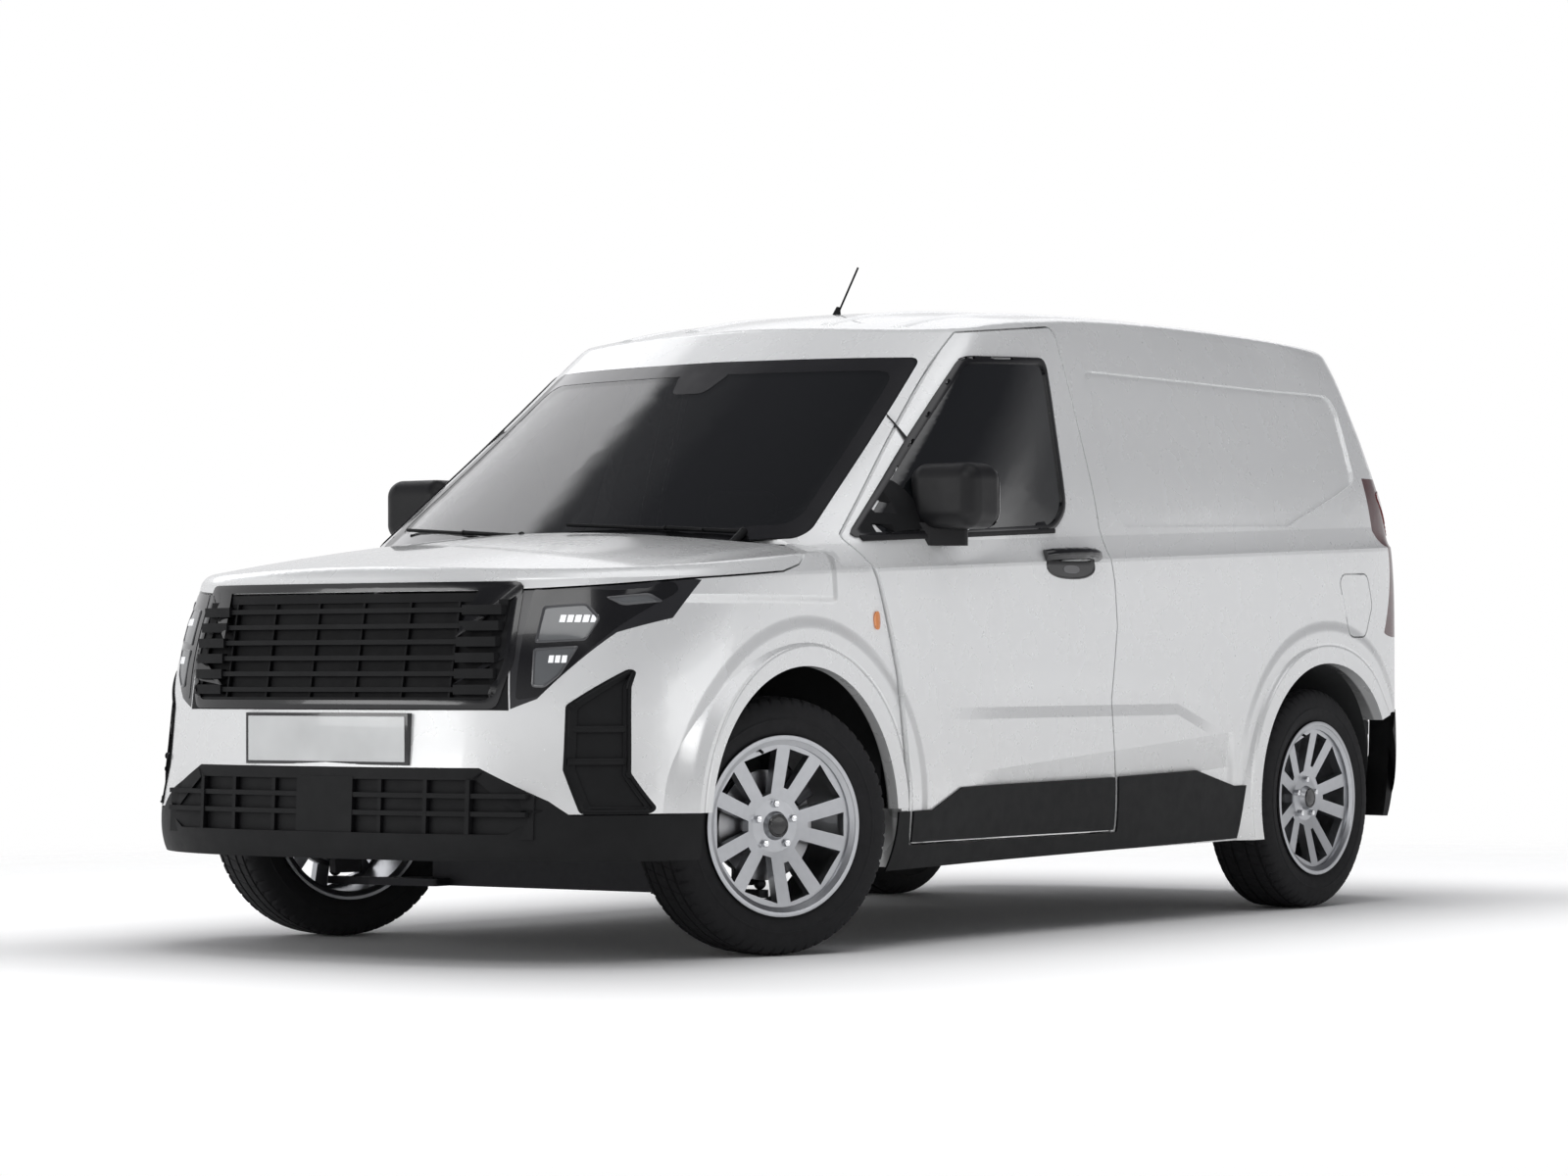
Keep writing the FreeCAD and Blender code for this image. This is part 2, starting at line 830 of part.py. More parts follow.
side_left = body_side()
side_right = mirrored(side_left)
recess = recess_cut(placed(RECESS_SHARES))
flap_points = placed(FUEL_FLAP_SHARES)
flap_prism = side_prism(flap_points, flank_x, WIDE, CORNER)
flap_zone = flank_outer.common(flap_prism)
flap_depth = size("flap_wall")
fuel_flap = flap_zone.cut(flap_zone.translated(Vector(-flap_depth, 0, 0)))


def flap_barrel():
    """Hinge barrel along the flap's front edge, turning a seat gap away from the body's edge."""
    radius = gap * BARREL_SHARE
    top, low = [Vector(0, y, z) for y, z in (flap_points[0], flap_points[-1])]
    along_edge = low - top
    outward = Vector(0, along_edge.z, -along_edge.y).normalize() * (gap - seat - radius)
    ends = []
    for share in BARREL_END_SHARES:
        spot = top + along_edge * share
        probe = Part.makeLine(spot + Vector(flank_x, 0, 0) - outward, spot + Vector(WIDE, 0, 0) - outward)
        skin_x = flank_outer.common(probe).BoundBox.XMax
        ends.append(Vector(skin_x - radius, spot.y, spot.z) + outward)
    return rod(ends[0], ends[1], radius)


fuel_flap = fuel_flap.fuse(flap_barrel())
flap_hole = flank_outer.common(side_prism(flap_points, flank_x, WIDE, CORNER, gap))
flap_hole = flap_hole.cut(flap_hole.translated(Vector(-flap_depth - gap, 0, 0)))
slide_points = placed(SLIDING_DOOR_SHARES)
slide_prism = side_prism(slide_points, 0, WIDE, CORNER)
slide_opening = side_prism(slide_points, 0, WIDE, CORNER, gap)
sliding_door = flank.common(slide_prism)
lamp_left = front_prism(fronted(TAIL_LAMP_SHARES), tail_start_y, tail_end_y, CORNER / 2)
lamp_hole = front_prism(fronted(TAIL_LAMP_SHARES), tail_start_y, tail_end_y, CORNER / 2, seat)
tail_lamp = flank.common(lamp_left)
add("body_side_left", solid_of(side_left.cut(recess).cut(flap_hole).cut(lamp_hole)))
add("body_side_right", solid_of(mirrored(side_left.cut(recess).cut(slide_opening).cut(lamp_hole))))
add("sliding_door", solid_of(mirrored(sliding_door.cut(recess))))
add("fuel_flap", solid_of(fuel_flap))
add("tail_lamps", Part.makeCompound([solid_of(tail_lamp), solid_of(mirrored(tail_lamp))]))
add("door_left", door_side())
add("door_right", mirrored(parts["door_left"].Shape))
add("door_glass_left", door_glass())
add("door_glass_right", mirrored(parts["door_glass_left"].Shape))
print("flanks")

# Roof, windscreen and rear doors, each made as its left half
def whole(half):
    """A half and its mirror image joined at the middle plane."""
    return solid_of(half.fuse(mirrored(half)))


roof_zone = block(0, roof_edge, along(HEADER_SHARE), FAR, eaves_z, TOP).fuse(header_prism.common(left_side))
roof_half = cab_outer.common(roof_zone).cut(cab_roof_inner).cut(rear_opening).cut(screen_opening)
for share in ROOF_BOLT_SHARES[1:]:
    bolt_x = across(ROOF_BOLT_SHARES[0])
    bolt_y = along(share)
    crown = up(ROOF_CROWN_SHARE) * (bolt_x / (half_width + overrun)) ** 2
    face_z = up(table(ROOF_LINE_SHARES, share, 1)) - crown - size("roof_bolt_radius") / 2
    hole_low = Vector(bolt_x, bolt_y, face_z - size("roof_bolt_depth"))
    roof_half = roof_half.cut(Part.makeCylinder(size("roof_bolt_radius"), overrun, hole_low))
    face = Vector(bolt_x, bolt_y, face_z)
    roof_half = roof_half.cut(Part.makeCylinder(3 * size("roof_bolt_radius"), overrun, face))
add("roof_panel", whole(solid_of(roof_half)))
screen_half = cab_outer.common(screen_prism.common(left_side)).cut(cab_glass_inner)
add("windscreen", whole(solid_of(screen_half)))
split_x = across(REAR_SPLIT_SHARE)
rear_half = solid_of(cab_outer.common(rear_prism.common(left_side)).cut(cab_inner))
half_split = size("rear_split_gap") / 2
rear_left = rear_half.fuse(mirrored(rear_half).common(block(split_x + half_split, 0, 0, FAR, 0, TOP)))
add("rear_door_left", solid_of(rear_left))
rear_right = mirrored(rear_half).common(block(-WIDE, split_x - half_split, 0, FAR, 0, TOP))
add("rear_door_right", solid_of(rear_right))
print("roof and rear")

# Nose: bonnet, wings, bumper, grille, lamps, made as the left half
nose_zone = block(0, WIDE, -FAR, roof_start_y, 0, TOP)
nose = nose_outer.common(nose_zone).cut(nose_inner)
bonnet_points = placed(BONNET_SIDE_SHARES)
bonnet_prism = side_prism(bonnet_points, -WIDE, WIDE, CORNER)
bonnet_opening = side_prism(bonnet_points, -WIDE, WIDE, CORNER, gap)
cowl_step = size("cowl_step")
screen_block = cab_outer.common(block(0, WIDE, scuttle_y, scuttle_end_y, scuttle_z, TOP))
screen_ahead = screen_block.translated(Vector(0, -cowl_step, 0))
corner_end = block(0, WIDE, along(BONNET_END_SHARE), FAR, 0, TOP)
add("bonnet", whole(solid_of(nose.common(bonnet_prism).cut(screen_ahead).cut(corner_end))))
wing_zone = side_prism(placed(WING_SHARES), 0, WIDE)
bumper_zone = side_prism(placed(BUMPER_SHARES), 0, WIDE)
flare = arch_flare(arch_y, nose_inner)
lamp_prism = front_prism(fronted(LAMP_SHARES), -FAR, nose_end_y, 0)
lamp_opening = front_prism(fronted(LAMP_SHARES), -FAR, nose_end_y, 0, seat)
wing = nose.common(wing_zone).fuse(flare.common(wing_zone))
wing = wing.cut(block(0, across(WING_INNER_SHARE), -FAR, FAR, up(BONNET_SIDE_SHARES[0][1]), TOP))
cowl_room = block(0, across(COWL_SHARES[0]) + gap, scuttle_y, FAR, up(COWL_SHARES[1]) - gap, TOP)
wing = wing.cut(front_arch).cut(bonnet_opening).cut(door_opening).cut(cowl_room)
wing = wing.cut(side_prism(placed(SIDE_SHARES), 0, WIDE, 0, seat)).cut(lamp_opening)
add("wing_left", solid_of(wing))
add("wing_right", mirrored(parts["wing_left"].Shape))

grille_prism = front_prism(fronted(GRILLE_SHARES), -FAR, nose_end_y, 0)
grille_opening = front_prism(fronted(GRILLE_SHARES), -FAR, nose_end_y, 0, seat)
intake_prism = front_prism(fronted(INTAKE_SHARES), -FAR, intake_end_y, 0)
intake_opening = front_prism(fronted(INTAKE_SHARES), -FAR, intake_end_y, 0, seat)
vent_prism = front_prism(fronted(VENT_SHARES), -FAR, nose_end_y, CORNER / 2)
vent_opening = front_prism(fronted(VENT_SHARES), -FAR, nose_end_y, CORNER / 2, seat)
bumper = nose.common(bumper_zone).fuse(flare.common(bumper_zone))
bumper = bumper.cut(front_arch).cut(lamp_opening).cut(bonnet_opening)
bumper = bumper.cut(grille_opening).cut(intake_opening).cut(vent_opening)
add("front_bumper", whole(solid_of(bumper)))
lamp = nose.common(lamp_prism).cut(bonnet_opening)
add("headlamps", Part.makeCompound([solid_of(lamp), mirrored(solid_of(lamp))]))
print("nose")

def nose_y(x, z):
    """Where the nose's front face is, from its level outlines."""
    height_share = z / roof_height
    reach = across(table(LOWER_LEVEL_SHARES, height_share, 1))
    front = front_axle_y - front_overhang * table(NOSE_SHARES, height_share, 1)
    depth = front_overhang * table(NOSE_SHARES, height_share, 2)
    return front + depth * (1 - (1 - (abs(x) / reach) ** CAP_SQUARENESS) ** (1 / CAP_SQUARENESS))


def band_wire(z, x_low, x_high, near, far):
    """Outline at one level of a strip that follows the nose, between two depths behind its face."""
    wire_points = []
    middle = (x_low + x_high) / 2
    for depth in (near, far):
        wire_points.append([Vector(x, nose_y(x, z) + depth, z) for x in (x_low, middle, x_high)])
    front, back = wire_points
    return Part.Wire([
        Part.Arc(*front).toShape(),
        Part.makeLine(front[2], back[2]),
        Part.Arc(*back[::-1]).toShape(),
        Part.makeLine(back[0], front[0]),
    ])


def band(z, height, x_low, x_high, near, far):
    """Slat at a height, following the nose."""
    return Part.Face(band_wire(z - height / 2, x_low, x_high, near, far)).extrude(Vector(0, 0, height))


def back_plate(z_low, z_high, x_low, x_high, near, far):
    """Plate behind an opening, from one level to another."""
    wires = [band_wire(z, x_low, x_high, near, far) for z in (z_low, z_high)]
    return Part.makeLoft(wires, True, True)


# Grille: surround, back plate, slats with thick tips and thin dividers, one moulding
def grille_half():
    window_prism = front_prism(fronted(GRILLE_WINDOW_SHARES), -FAR, nose_end_y, 0)
    frame = nose.common(grille_prism).cut(bonnet_opening).cut(window_prism)
    slat = size("slat_height")
    depth = size("grille_depth")
    back = size("slat_set_back")
    low, high = up(GRILLE_WINDOW_SHARES[1][1]), up(GRILLE_WINDOW_SHARES[0][1])
    side = across(GRILLE_WINDOW_SHARES[1][0]) + slat
    tip = across(SLAT_TIP_SHARE)
    pieces = [back_plate(low - slat, high + slat / 2, 0, side, depth - back, depth)]
    count = int(size("slat_count"))
    pitch = (high - low) / count
    for i in range(count):
        middle = low + (i + 0.5) * pitch
        pieces.append(band(middle, slat, 0, side, back, depth - back / 2))
        pieces.append(band(middle, 2 * slat, tip, side, back / 2, depth - back / 2))
    half = size("divider_width") / 2
    for share in DIVIDER_SHARES:
        x = across(share)
        wires = [band_wire(z, x - half, x + half, 2 * back, depth - back / 2) for z in (low, high)]
        pieces.append(Part.makeLoft(wires, True, True))
    insert = pieces[0].fuse(pieces[1:])
    return frame.fuse(insert)


add("upper_grille", whole(solid_of(grille_half())))


# Lower intake: black apron with its opening, slats, sensor square and the two side vents
def intake_half():
    window_prism = front_prism(fronted(INTAKE_WINDOW_SHARES), -FAR, nose_end_y, 0)
    shell = nose.common(intake_prism).cut(front_arch)
    shell = shell.common(block(0, WIDE, -FAR, apron_end_y, 0, TOP)).cut(window_prism)
    slat = size("slat_height")
    depth = size("grille_depth")
    back = size("slat_set_back")
    low, high = up(INTAKE_WINDOW_SHARES[2][1]), up(INTAKE_WINDOW_SHARES[0][1])
    side = across(INTAKE_WINDOW_SHARES[1][0]) + slat
    pieces = [back_plate(low - slat, high + slat, 0, side, depth - back, depth)]
    for share in INTAKE_SLAT_SHARES:
        pieces.append(band(up(share), slat, 0, side - slat, back, depth - back / 2))
    half = size("divider_width")
    for share in INTAKE_POST_SHARES:
        x = across(share)
        wires = [band_wire(z, x - half, x + half, back, depth - back / 2) for z in (low, high)]
        pieces.append(Part.makeLoft(wires, True, True))
    sensor = [band_wire(z, 0, across(SENSOR_SHARE), 0, depth - back / 2) for z in (low, high + slat / 2)]
    pieces.append(Part.makeLoft(sensor, True, True))
    insert = pieces[0].fuse(pieces[1:])
    return shell.fuse(insert.common(intake_prism))


def vent():
    """Blanked vent in the bumper's corner: a rim at the skin and a plate set back inside it."""
    shell = nose.common(vent_prism)
    hole = front_prism(fronted(VENT_SHARES), -FAR, nose_end_y, CORNER / 2, -size("vent_rim"))
    plate = shell.translated(Vector(0, size("vent_depth"), 0)).common(hole)
    return solid_of(shell.cut(hole).fuse(plate))


intake = solid_of(intake_half())
side_vent = vent()
add("lower_intake", Part.makeCompound([whole(intake), side_vent, mirrored(side_vent)]))
print("grille")

# Black plastic on the flanks, standing proud by its own wall
def clad(points, cutters):
    zone = flank_outer.common(side_prism(points, flank_x, WIDE, gap))
    skin = zone.translated(Vector(size("trim_wall") + seat, 0, 0)).cut(zone.translated(Vector(seat, 0, 0)))
    for cutter in cutters:
        skin = skin.cut(cutter)
    return solid_of(skin)


rear_flare = arch_flare(rear_axle_y, flank_inner, seat)
add("door_cladding_left", clad(placed(DOOR_CLADDING_SHARES), []))
add("door_cladding_right", mirrored(parts["door_cladding_left"].Shape))
sill_trim = clad(placed(SILL_CLADDING_SHARES), [door_opening, rear_arch, front_arch, rear_flare])
add("side_cladding", Part.makeCompound([sill_trim, mirrored(sill_trim.cut(slide_opening))]))

# Rear bumper, filled between its own outer face and the body
def rear_bumper_half():
    loop_knots.clear()
    proud_share = size("trim_wall") / rear_overhang
    reach = [(height_share, share - proud_share) for height_share, share in REAR_BUMPER_SHARES]
    proud = -size("trim_wall")
    levels = [outline(level, False, proud, reach, BUMPER_DEPTH_SHARE) for level in LOWER_LEVEL_SHARES[:5]]
    volume = Part.makeLoft(levels, True, False)
    zone = side_prism(placed(REAR_BUMPER_SIDE_SHARES), 0, WIDE)
    body = cab_outer.common(block(0, WIDE, aft_y, FAR, 0, TOP)).translated(Vector(0, seat, 0))
    return volume.common(zone).cut(body).cut(rear_arch).cut(rear_flare).cut(rear_opening)


add("rear_bumper", whole(solid_of(rear_bumper_half())))
print("trim")

# Cowl panel below the windscreen
cowl_zone = block(0, across(COWL_SHARES[0]), scuttle_y, scuttle_end_y, up(COWL_SHARES[1]), up(COWL_SHARES[2]))
cowl = screen_ahead.cut(screen_block.translated(Vector(0, -seat, 0))).common(cowl_zone)
add("cowl_panel", whole(solid_of(cowl)))

# Left kingpin axis, from the ball joint up to the strut's top
steer = size("steer_rest_deg")
track_half = size("track_half")
ball_z = size("ball_joint_height")
ball_x = size("ball_joint_x")
top_x = size("strut_top_x")
top_z = size("strut_top_height")
strut_radius = size("strut_radius")


def axis_point(z):
    """Point of the left kingpin axis at a height, at the front axle."""
    return Vector(ball_x + (top_x - ball_x) * (z - ball_z) / (top_z - ball_z), front_axle_y, z)


kingpin_x = axis_point(tyre_radius).x

# Floor, firewall, wheel houses and load floor, all inside the walls
cab_room_left = cab_room.common(block(0, WIDE, room_start_y, FAR, 0, TOP))
house_x = across(WHEEL_HOUSE_SHARE)
rear_house_x = across(REAR_HOUSE_SHARE)
rail_x = across(RAIL_SHARES[0])
rail_low = up(RAIL_SHARES[1])
rail_high = up(RAIL_SHARES[2])
floor_wall = size("floor_wall")
cab_floor = size("cab_floor_height")
load_floor = size("load_floor_height")
bulkhead_y = along(BULKHEAD_SHARE)
tail_y = along(LOAD_FLOOR_END_SHARE)
firewall_y = along(FIREWALL_SHARE)
closing_y = arch_y + arch_radius + gap


def floor_half():
    thin = size("panel_wall")
    house = wheel_cylinder(rear_axle_y, arch_radius + thin, rear_house_x - thin, WIDE)
    hollow = wheel_cylinder(rear_axle_y, arch_radius, rear_house_x, WIDE)
    axle_slot = block(rear_house_x - 2 * thin, rear_house_x + thin, rear_axle_y - 2 * thin - overrun,
                      rear_axle_y + 2 * thin + overrun, 0, tyre_radius + 2 * thin + overrun)
    pieces = [
        block(0, WIDE, closing_y, bulkhead_y, cab_floor, cab_floor + floor_wall),
        block(0, WIDE, bulkhead_y - floor_wall, bulkhead_y, cab_floor, load_floor + floor_wall),
        block(0, WIDE, bulkhead_y - floor_wall, tail_y, load_floor, load_floor + floor_wall),
        block(0, WIDE, tail_y - floor_wall, tail_y, cab_floor, load_floor + floor_wall),
        block(house_x, WIDE, closing_y, closing_y + thin, cab_floor, up(COWL_SHARES[1])),
        house.common(block(0, WIDE, 0, FAR, cab_floor, TOP)),
    ]
    door_swing = block(across(FLOOR_CORNER_SHARES[0]), WIDE, along(FLOOR_CORNER_SHARES[1]), FAR, 0, TOP)
    inside = pieces[0].fuse(pieces[1:]).cut(hollow).cut(axle_slot).cut(door_swing).common(cab_room_left)
    nose_end = front_axle_y - front_overhang * RADIATOR_SHARE
    front = [
        block(0, house_x, firewall_y, closing_y + thin, cab_floor, cab_floor + floor_wall),
        block(0, house_x, firewall_y - thin, firewall_y, cab_floor, up(COWL_SHARES[1])),
        block(house_x - thin, house_x, firewall_y - thin, closing_y + thin, cab_floor, up(COWL_SHARES[1])),
        block(rail_x - floor_wall, rail_x, nose_end, firewall_y, rail_low, rail_high),
        block(0, rail_x, nose_end, nose_end + floor_wall, rail_low, up(RAIL_SHARES[3])),
    ]
    tower = block(house_x - thin, top_x + strut_radius * 2, front_axle_y - 3 * strut_radius,
                  front_axle_y + 3 * strut_radius, top_z - strut_radius, top_z + thin + strut_radius)
    seat_line = (axis_point(top_z) - axis_point(ball_z)).normalize()
    pocket = rod(axis_point(ball_z), axis_point(top_z) + seat_line * seat, strut_radius * 2)
    apron = block(house_x - thin, house_x, front_axle_y - 3 * strut_radius, closing_y, rail_low, top_z)
    return inside.fuse(front + [tower.cut(pocket), apron])


add("floor_pan", whole(solid_of(floor_half())))
bulkhead_foot = load_floor + floor_wall + seat
bulkhead = block(0, WIDE, bulkhead_y + seat, bulkhead_y + size("bulkhead_wall"), bulkhead_foot, TOP)
bulkhead = bulkhead.common(cab_room_left)
add("bulkhead", whole(solid_of(bulkhead)))
print("floor")

# Dashboard across the cab, clear of the doors' inner faces
dash_zone = side_prism(placed(DASH_SHARES), 0, across(DASH_WIDTH_SHARE), CORNER)
closing_zone = block(0, WIDE, -FAR, closing_y + size("panel_wall") + seat, 0, up(COWL_SHARES[1]) + seat)
add("dashboard", whole(solid_of(dash_zone.common(cab_room_left).cut(closing_zone))))


# Seats: cushion and backrest in one solid each, left and right
def seat_solid(x):
    depth = size("cushion_depth")
    wall = size("cushion_wall")
    width = size("seat_width")
    base_z = cab_floor + floor_wall + seat
    front = along(SEAT_FRONT_SHARE)
    top = up(CUSHION_TOP_SHARE)
    plinth = block(x - width / 3, x + width / 3, front + wall, front + depth, base_z, top - wall)
    cushion = block(x - width / 2, x + width / 2, front, front + depth, top - wall, top)
    cushion = cushion.makeFillet(wall / 3, cushion.Edges)
    back = block(-width / 2, width / 2, -wall / 2, wall / 2, 0, up(BACKREST_SHARE))
    back = back.makeFillet(wall / 3, back.Edges)
    lean = Rotation(Vector(1, 0, 0), -size("backrest_lean_deg"))
    back.Placement = Placement(Vector(x, front + depth - wall / 4, top - wall / 2), lean)
    return plinth.fuse([cushion, back])


driver_x = across(DRIVER_SHARE)
add("seats", Part.makeCompound([seat_solid(driver_x), seat_solid(-driver_x)]))


# Sketched bodies: every corner of a loop is held by two distances bound to the sheet
def loop_sketch(body, role, corners):
    plane = [item for item in body.Origin.OriginFeatures if item.Role == role][0]
    sketch = body.newObject("Sketcher::SketchObject", body.Name + "Sketch")
    sketch.AttachmentSupport = (plane, [""])
    sketch.MapMode = "FlatFace"
    values = [Vector(number(sketch, x), number(sketch, y), 0) for x, y in corners]
    count = len(values)
    for i in range(count):
        sketch.addGeometry(Part.LineSegment(values[i], values[(i + 1) % count]))
    for i in range(count):
        sketch.addConstraint(Sketcher.Constraint("Coincident", i, 2, (i + 1) % count, 1))
    for i, (x, y) in enumerate(corners):
        for kind, value, formula in (("DistanceX", values[i].x, x), ("DistanceY", values[i].y, y)):
            index = sketch.addConstraint(Sketcher.Constraint(kind, i, 1, value))
            sketch.setExpression("Constraints[%d]" % index, formula)
    return sketch


def number(item, formula):
    value = item.evalExpression(formula)
    return float(getattr(value, "Value", value))


def revolved(body, corners):
    """Solid of revolution about the body's own X axis, from corners given along X and outwards."""
    sketch = loop_sketch(body, "XY_Plane", corners)
    turn = body.newObject("PartDesign::Revolution", body.Name + "Turn")
    turn.Profile = sketch
    turn.ReferenceAxis = (sketch, ["H_Axis"])
    turn.Angle = 360
    return turn


def new_body(name):
    body = doc.addObject("PartDesign::Body", name)
    body.Label = name
    parts[name] = body
    return body


TYRE_CORNERS = (
    ("-Sizes.tyre_width * 0.415", "Sizes.rim_radius - Sizes.rim_flange + Sizes.seat_gap"),
    ("-Sizes.tyre_width * 0.5", "Sizes.rim_radius * 0.35 + Sizes.tyre_radius * 0.565"),
    ("-Sizes.tyre_width * 0.47", "Sizes.tyre_radius * 0.935"),
    ("-Sizes.tyre_width * 0.39", "Sizes.tyre_radius"),
    ("Sizes.tyre_width * 0.39", "Sizes.tyre_radius"),
    ("Sizes.tyre_width * 0.47", "Sizes.tyre_radius * 0.935"),
    ("Sizes.tyre_width * 0.5", "Sizes.rim_radius * 0.35 + Sizes.tyre_radius * 0.565"),
    ("Sizes.tyre_width * 0.415", "Sizes.rim_radius - Sizes.rim_flange + Sizes.seat_gap"),
)
BARREL_CORNERS = (
    ("-Sizes.rim_half_width", "Sizes.rim_radius - Sizes.rim_flange"),
    ("Sizes.rim_half_width", "Sizes.rim_radius - Sizes.rim_flange"),
    ("Sizes.rim_half_width", "Sizes.rim_radius"),
    ("Sizes.rim_half_width + Sizes.rim_wall", "Sizes.rim_radius"),
    ("Sizes.rim_half_width + Sizes.rim_wall", "Sizes.rim_radius - Sizes.rim_wall"),
    ("Sizes.rim_half_width", "Sizes.rim_radius - Sizes.rim_flange - Sizes.rim_wall"),
    ("-Sizes.rim_half_width", "Sizes.rim_radius - Sizes.rim_flange - Sizes.rim_wall"),
    ("-Sizes.rim_half_width - Sizes.rim_wall", "Sizes.rim_radius - Sizes.rim_wall"),
    ("-Sizes.rim_half_width - Sizes.rim_wall", "Sizes.rim_radius"),
    ("-Sizes.rim_half_width", "Sizes.rim_radius"),
)
FACE_CORNERS = (
    ("-Sizes.disc_wall * 2", "0 mm"),
    ("Sizes.rim_half_width * 0.80", "0 mm"),
    ("Sizes.rim_half_width * 0.80", "Sizes.hub_radius * 0.9"),
    ("Sizes.rim_half_width * 0.66", "Sizes.hub_radius * 1.1"),
    ("Sizes.rim_half_width * 0.62", "Sizes.hub_radius * 2.0"),
    ("Sizes.rim_half_width * 0.92", "Sizes.rim_radius - Sizes.rim_flange - Sizes.rim_wall / 2"),
    ("Sizes.rim_half_width * 0.62", "Sizes.rim_radius - Sizes.rim_flange - Sizes.rim_wall / 2"),
    ("Sizes.rim_half_width * 0.34", "Sizes.hub_radius * 2.0"),
    ("-Sizes.disc_wall", "Sizes.hub_radius * 2.0"),
    ("-Sizes.disc_wall", "Sizes.disc_radius"),
    ("-Sizes.disc_wall * 2", "Sizes.disc_radius"),
)
# Windows between the spokes: inner and outer radius shares of the rim, half angles in degrees
WIDE_WINDOW = (0.36, 0.86, 9.0, 15.5, 36.0)
NARROW_WINDOW = (0.43, 0.86, 4.0, 9.0, 0.0)


def window_corners(window):
    """Corners of one window as formulas, from the rim radius and angles from the middle."""
    inner, outer, half_in, half_out, middle = window
    corners = []
    for share, angle in ((inner, middle - half_in), (outer, middle - half_out),
                         (outer, middle + half_out), (inner, middle + half_in)):
        corners.append(("Sizes.rim_radius * %.4f * cos(%.2f deg)" % (share, angle),
                        "Sizes.rim_radius * %.4f * sin(%.2f deg)" % (share, angle)))
    return corners


def rim_body(name):
    """Alloy rim with five twin spokes, its hub and brake disc, axle along X, outboard side at +X."""
    body = new_body(name)
    revolved(body, FACE_CORNERS)
    windows = []
    for window in (WIDE_WINDOW, NARROW_WINDOW):
        sketch = loop_sketch(body, "YZ_Plane", window_corners(window))
        pocket = body.newObject("PartDesign::Pocket", name + "Window")
        pocket.Profile = sketch
        pocket.Type = 0
        pocket.setExpression("Length", "Sizes.rim_half_width * 2")
        pocket.Reversed = True
        pattern = body.newObject("PartDesign::PolarPattern", name + "Windows")
        pattern.Originals = [pocket]
        pattern.Axis = (sketch, ["N_Axis"])
        pattern.Angle = 360
        pattern.setExpression("Occurrences", "Sizes.spoke_pair_count")
        body.Tip = pattern
        windows.append(pattern)
    revolved(body, BARREL_CORNERS)
    body.Tip = body.Group[-1]
    return body


def tyre_body(name):
    body = new_body(name)
    revolved(body, TYRE_CORNERS)
    return body


def wheel_placement(side, front):
    """Where a wheel stands: side is 1 for the left and -1 for the right."""
    facing = Rotation(Vector(0, 0, 1), 0 if side > 0 else 180)
    if not front:
        return Placement(Vector(side * track_half, rear_axle_y, tyre_radius), facing)
    turn = Rotation(Vector(0, 0, 1), -steer)
    arm = turn.multVec(Vector(side * (track_half - kingpin_x), 0, 0))
    centre = Vector(side * kingpin_x, front_axle_y, tyre_radius) + arm
    return Placement(centre, turn.multiply(facing))


WHEELS = (("fl", 1, True), ("fr", -1, True), ("rl", 1, False), ("rr", -1, False))
for mark, side, front in WHEELS:
    place = wheel_placement(side, front)
    tyre_body("tyre_" + mark).Placement = place
    rim_body("rim_" + mark).Placement = place
print("wheels")

# Knuckles: hub carrier, upright and strut turn with the wheel, the rod's top and the ball lie on the axis
def knuckle_turned():
    """What stands beside the left wheel, steered straight ahead."""
    hub_end = track_half - 2 * size("disc_wall") - seat
    deep = size("upright_wall")
    inner = hub_end - deep
    hub_start = Vector(hub_end - deep / 2, front_axle_y, tyre_radius)
    hub = Part.makeCylinder(size("hub_radius") * 1.3, deep / 2, hub_start,
                            Vector(1, 0, 0))
    upright = block(inner, hub_end - gap, front_axle_y - deep, front_axle_y + deep, ball_z - gap,
                    tyre_radius + 3 * deep)
    strut_x = size("strut_x")
    neck_z = tyre_radius + deep
    bracket = block(strut_x - strut_radius / 2, inner + deep / 2, front_axle_y - strut_radius / 2,
                    front_axle_y + strut_radius / 2, neck_z + deep / 2, neck_z + 2 * deep)
    bend = Vector(strut_x, front_axle_y, size("strut_bend_height"))
    lower = rod(Vector(strut_x, front_axle_y, neck_z), bend,
                strut_radius)
    return hub.fuse([upright, bracket, lower])


def knuckle_axis():
    """Ball, its foot, the spring's seat and the rod, all about the kingpin axis."""
    ball = Part.makeSphere(size("ball_radius"), axis_point(ball_z))
    half = size("ball_radius") * 0.6
    foot_x = kingpin_x - 2 * half
    foot = block(foot_x, ball_x, front_axle_y - half, front_axle_y + half, ball_z, ball_z + half)
    seat_z = size("strut_bend_height")
    plate = Part.makeCylinder(size("spring_seat_radius"), strut_radius / 2,
                              axis_point(seat_z) - Vector(0, 0, strut_radius / 2))
    rod_top = rod(axis_point(seat_z), axis_point(top_z), strut_radius)
    return plate.fuse([ball, foot, rod_top])


turned = knuckle_turned()
turned.rotate(Vector(kingpin_x, front_axle_y, 0), Vector(0, 0, 1), -steer)
add("knuckle_left", solid_of(knuckle_axis().fuse(turned)))
turned = mirrored(knuckle_turned())
turned.rotate(Vector(-kingpin_x, front_axle_y, 0), Vector(0, 0, 1), -steer)
add("knuckle_right", solid_of(mirrored(knuckle_axis()).fuse(turned)))


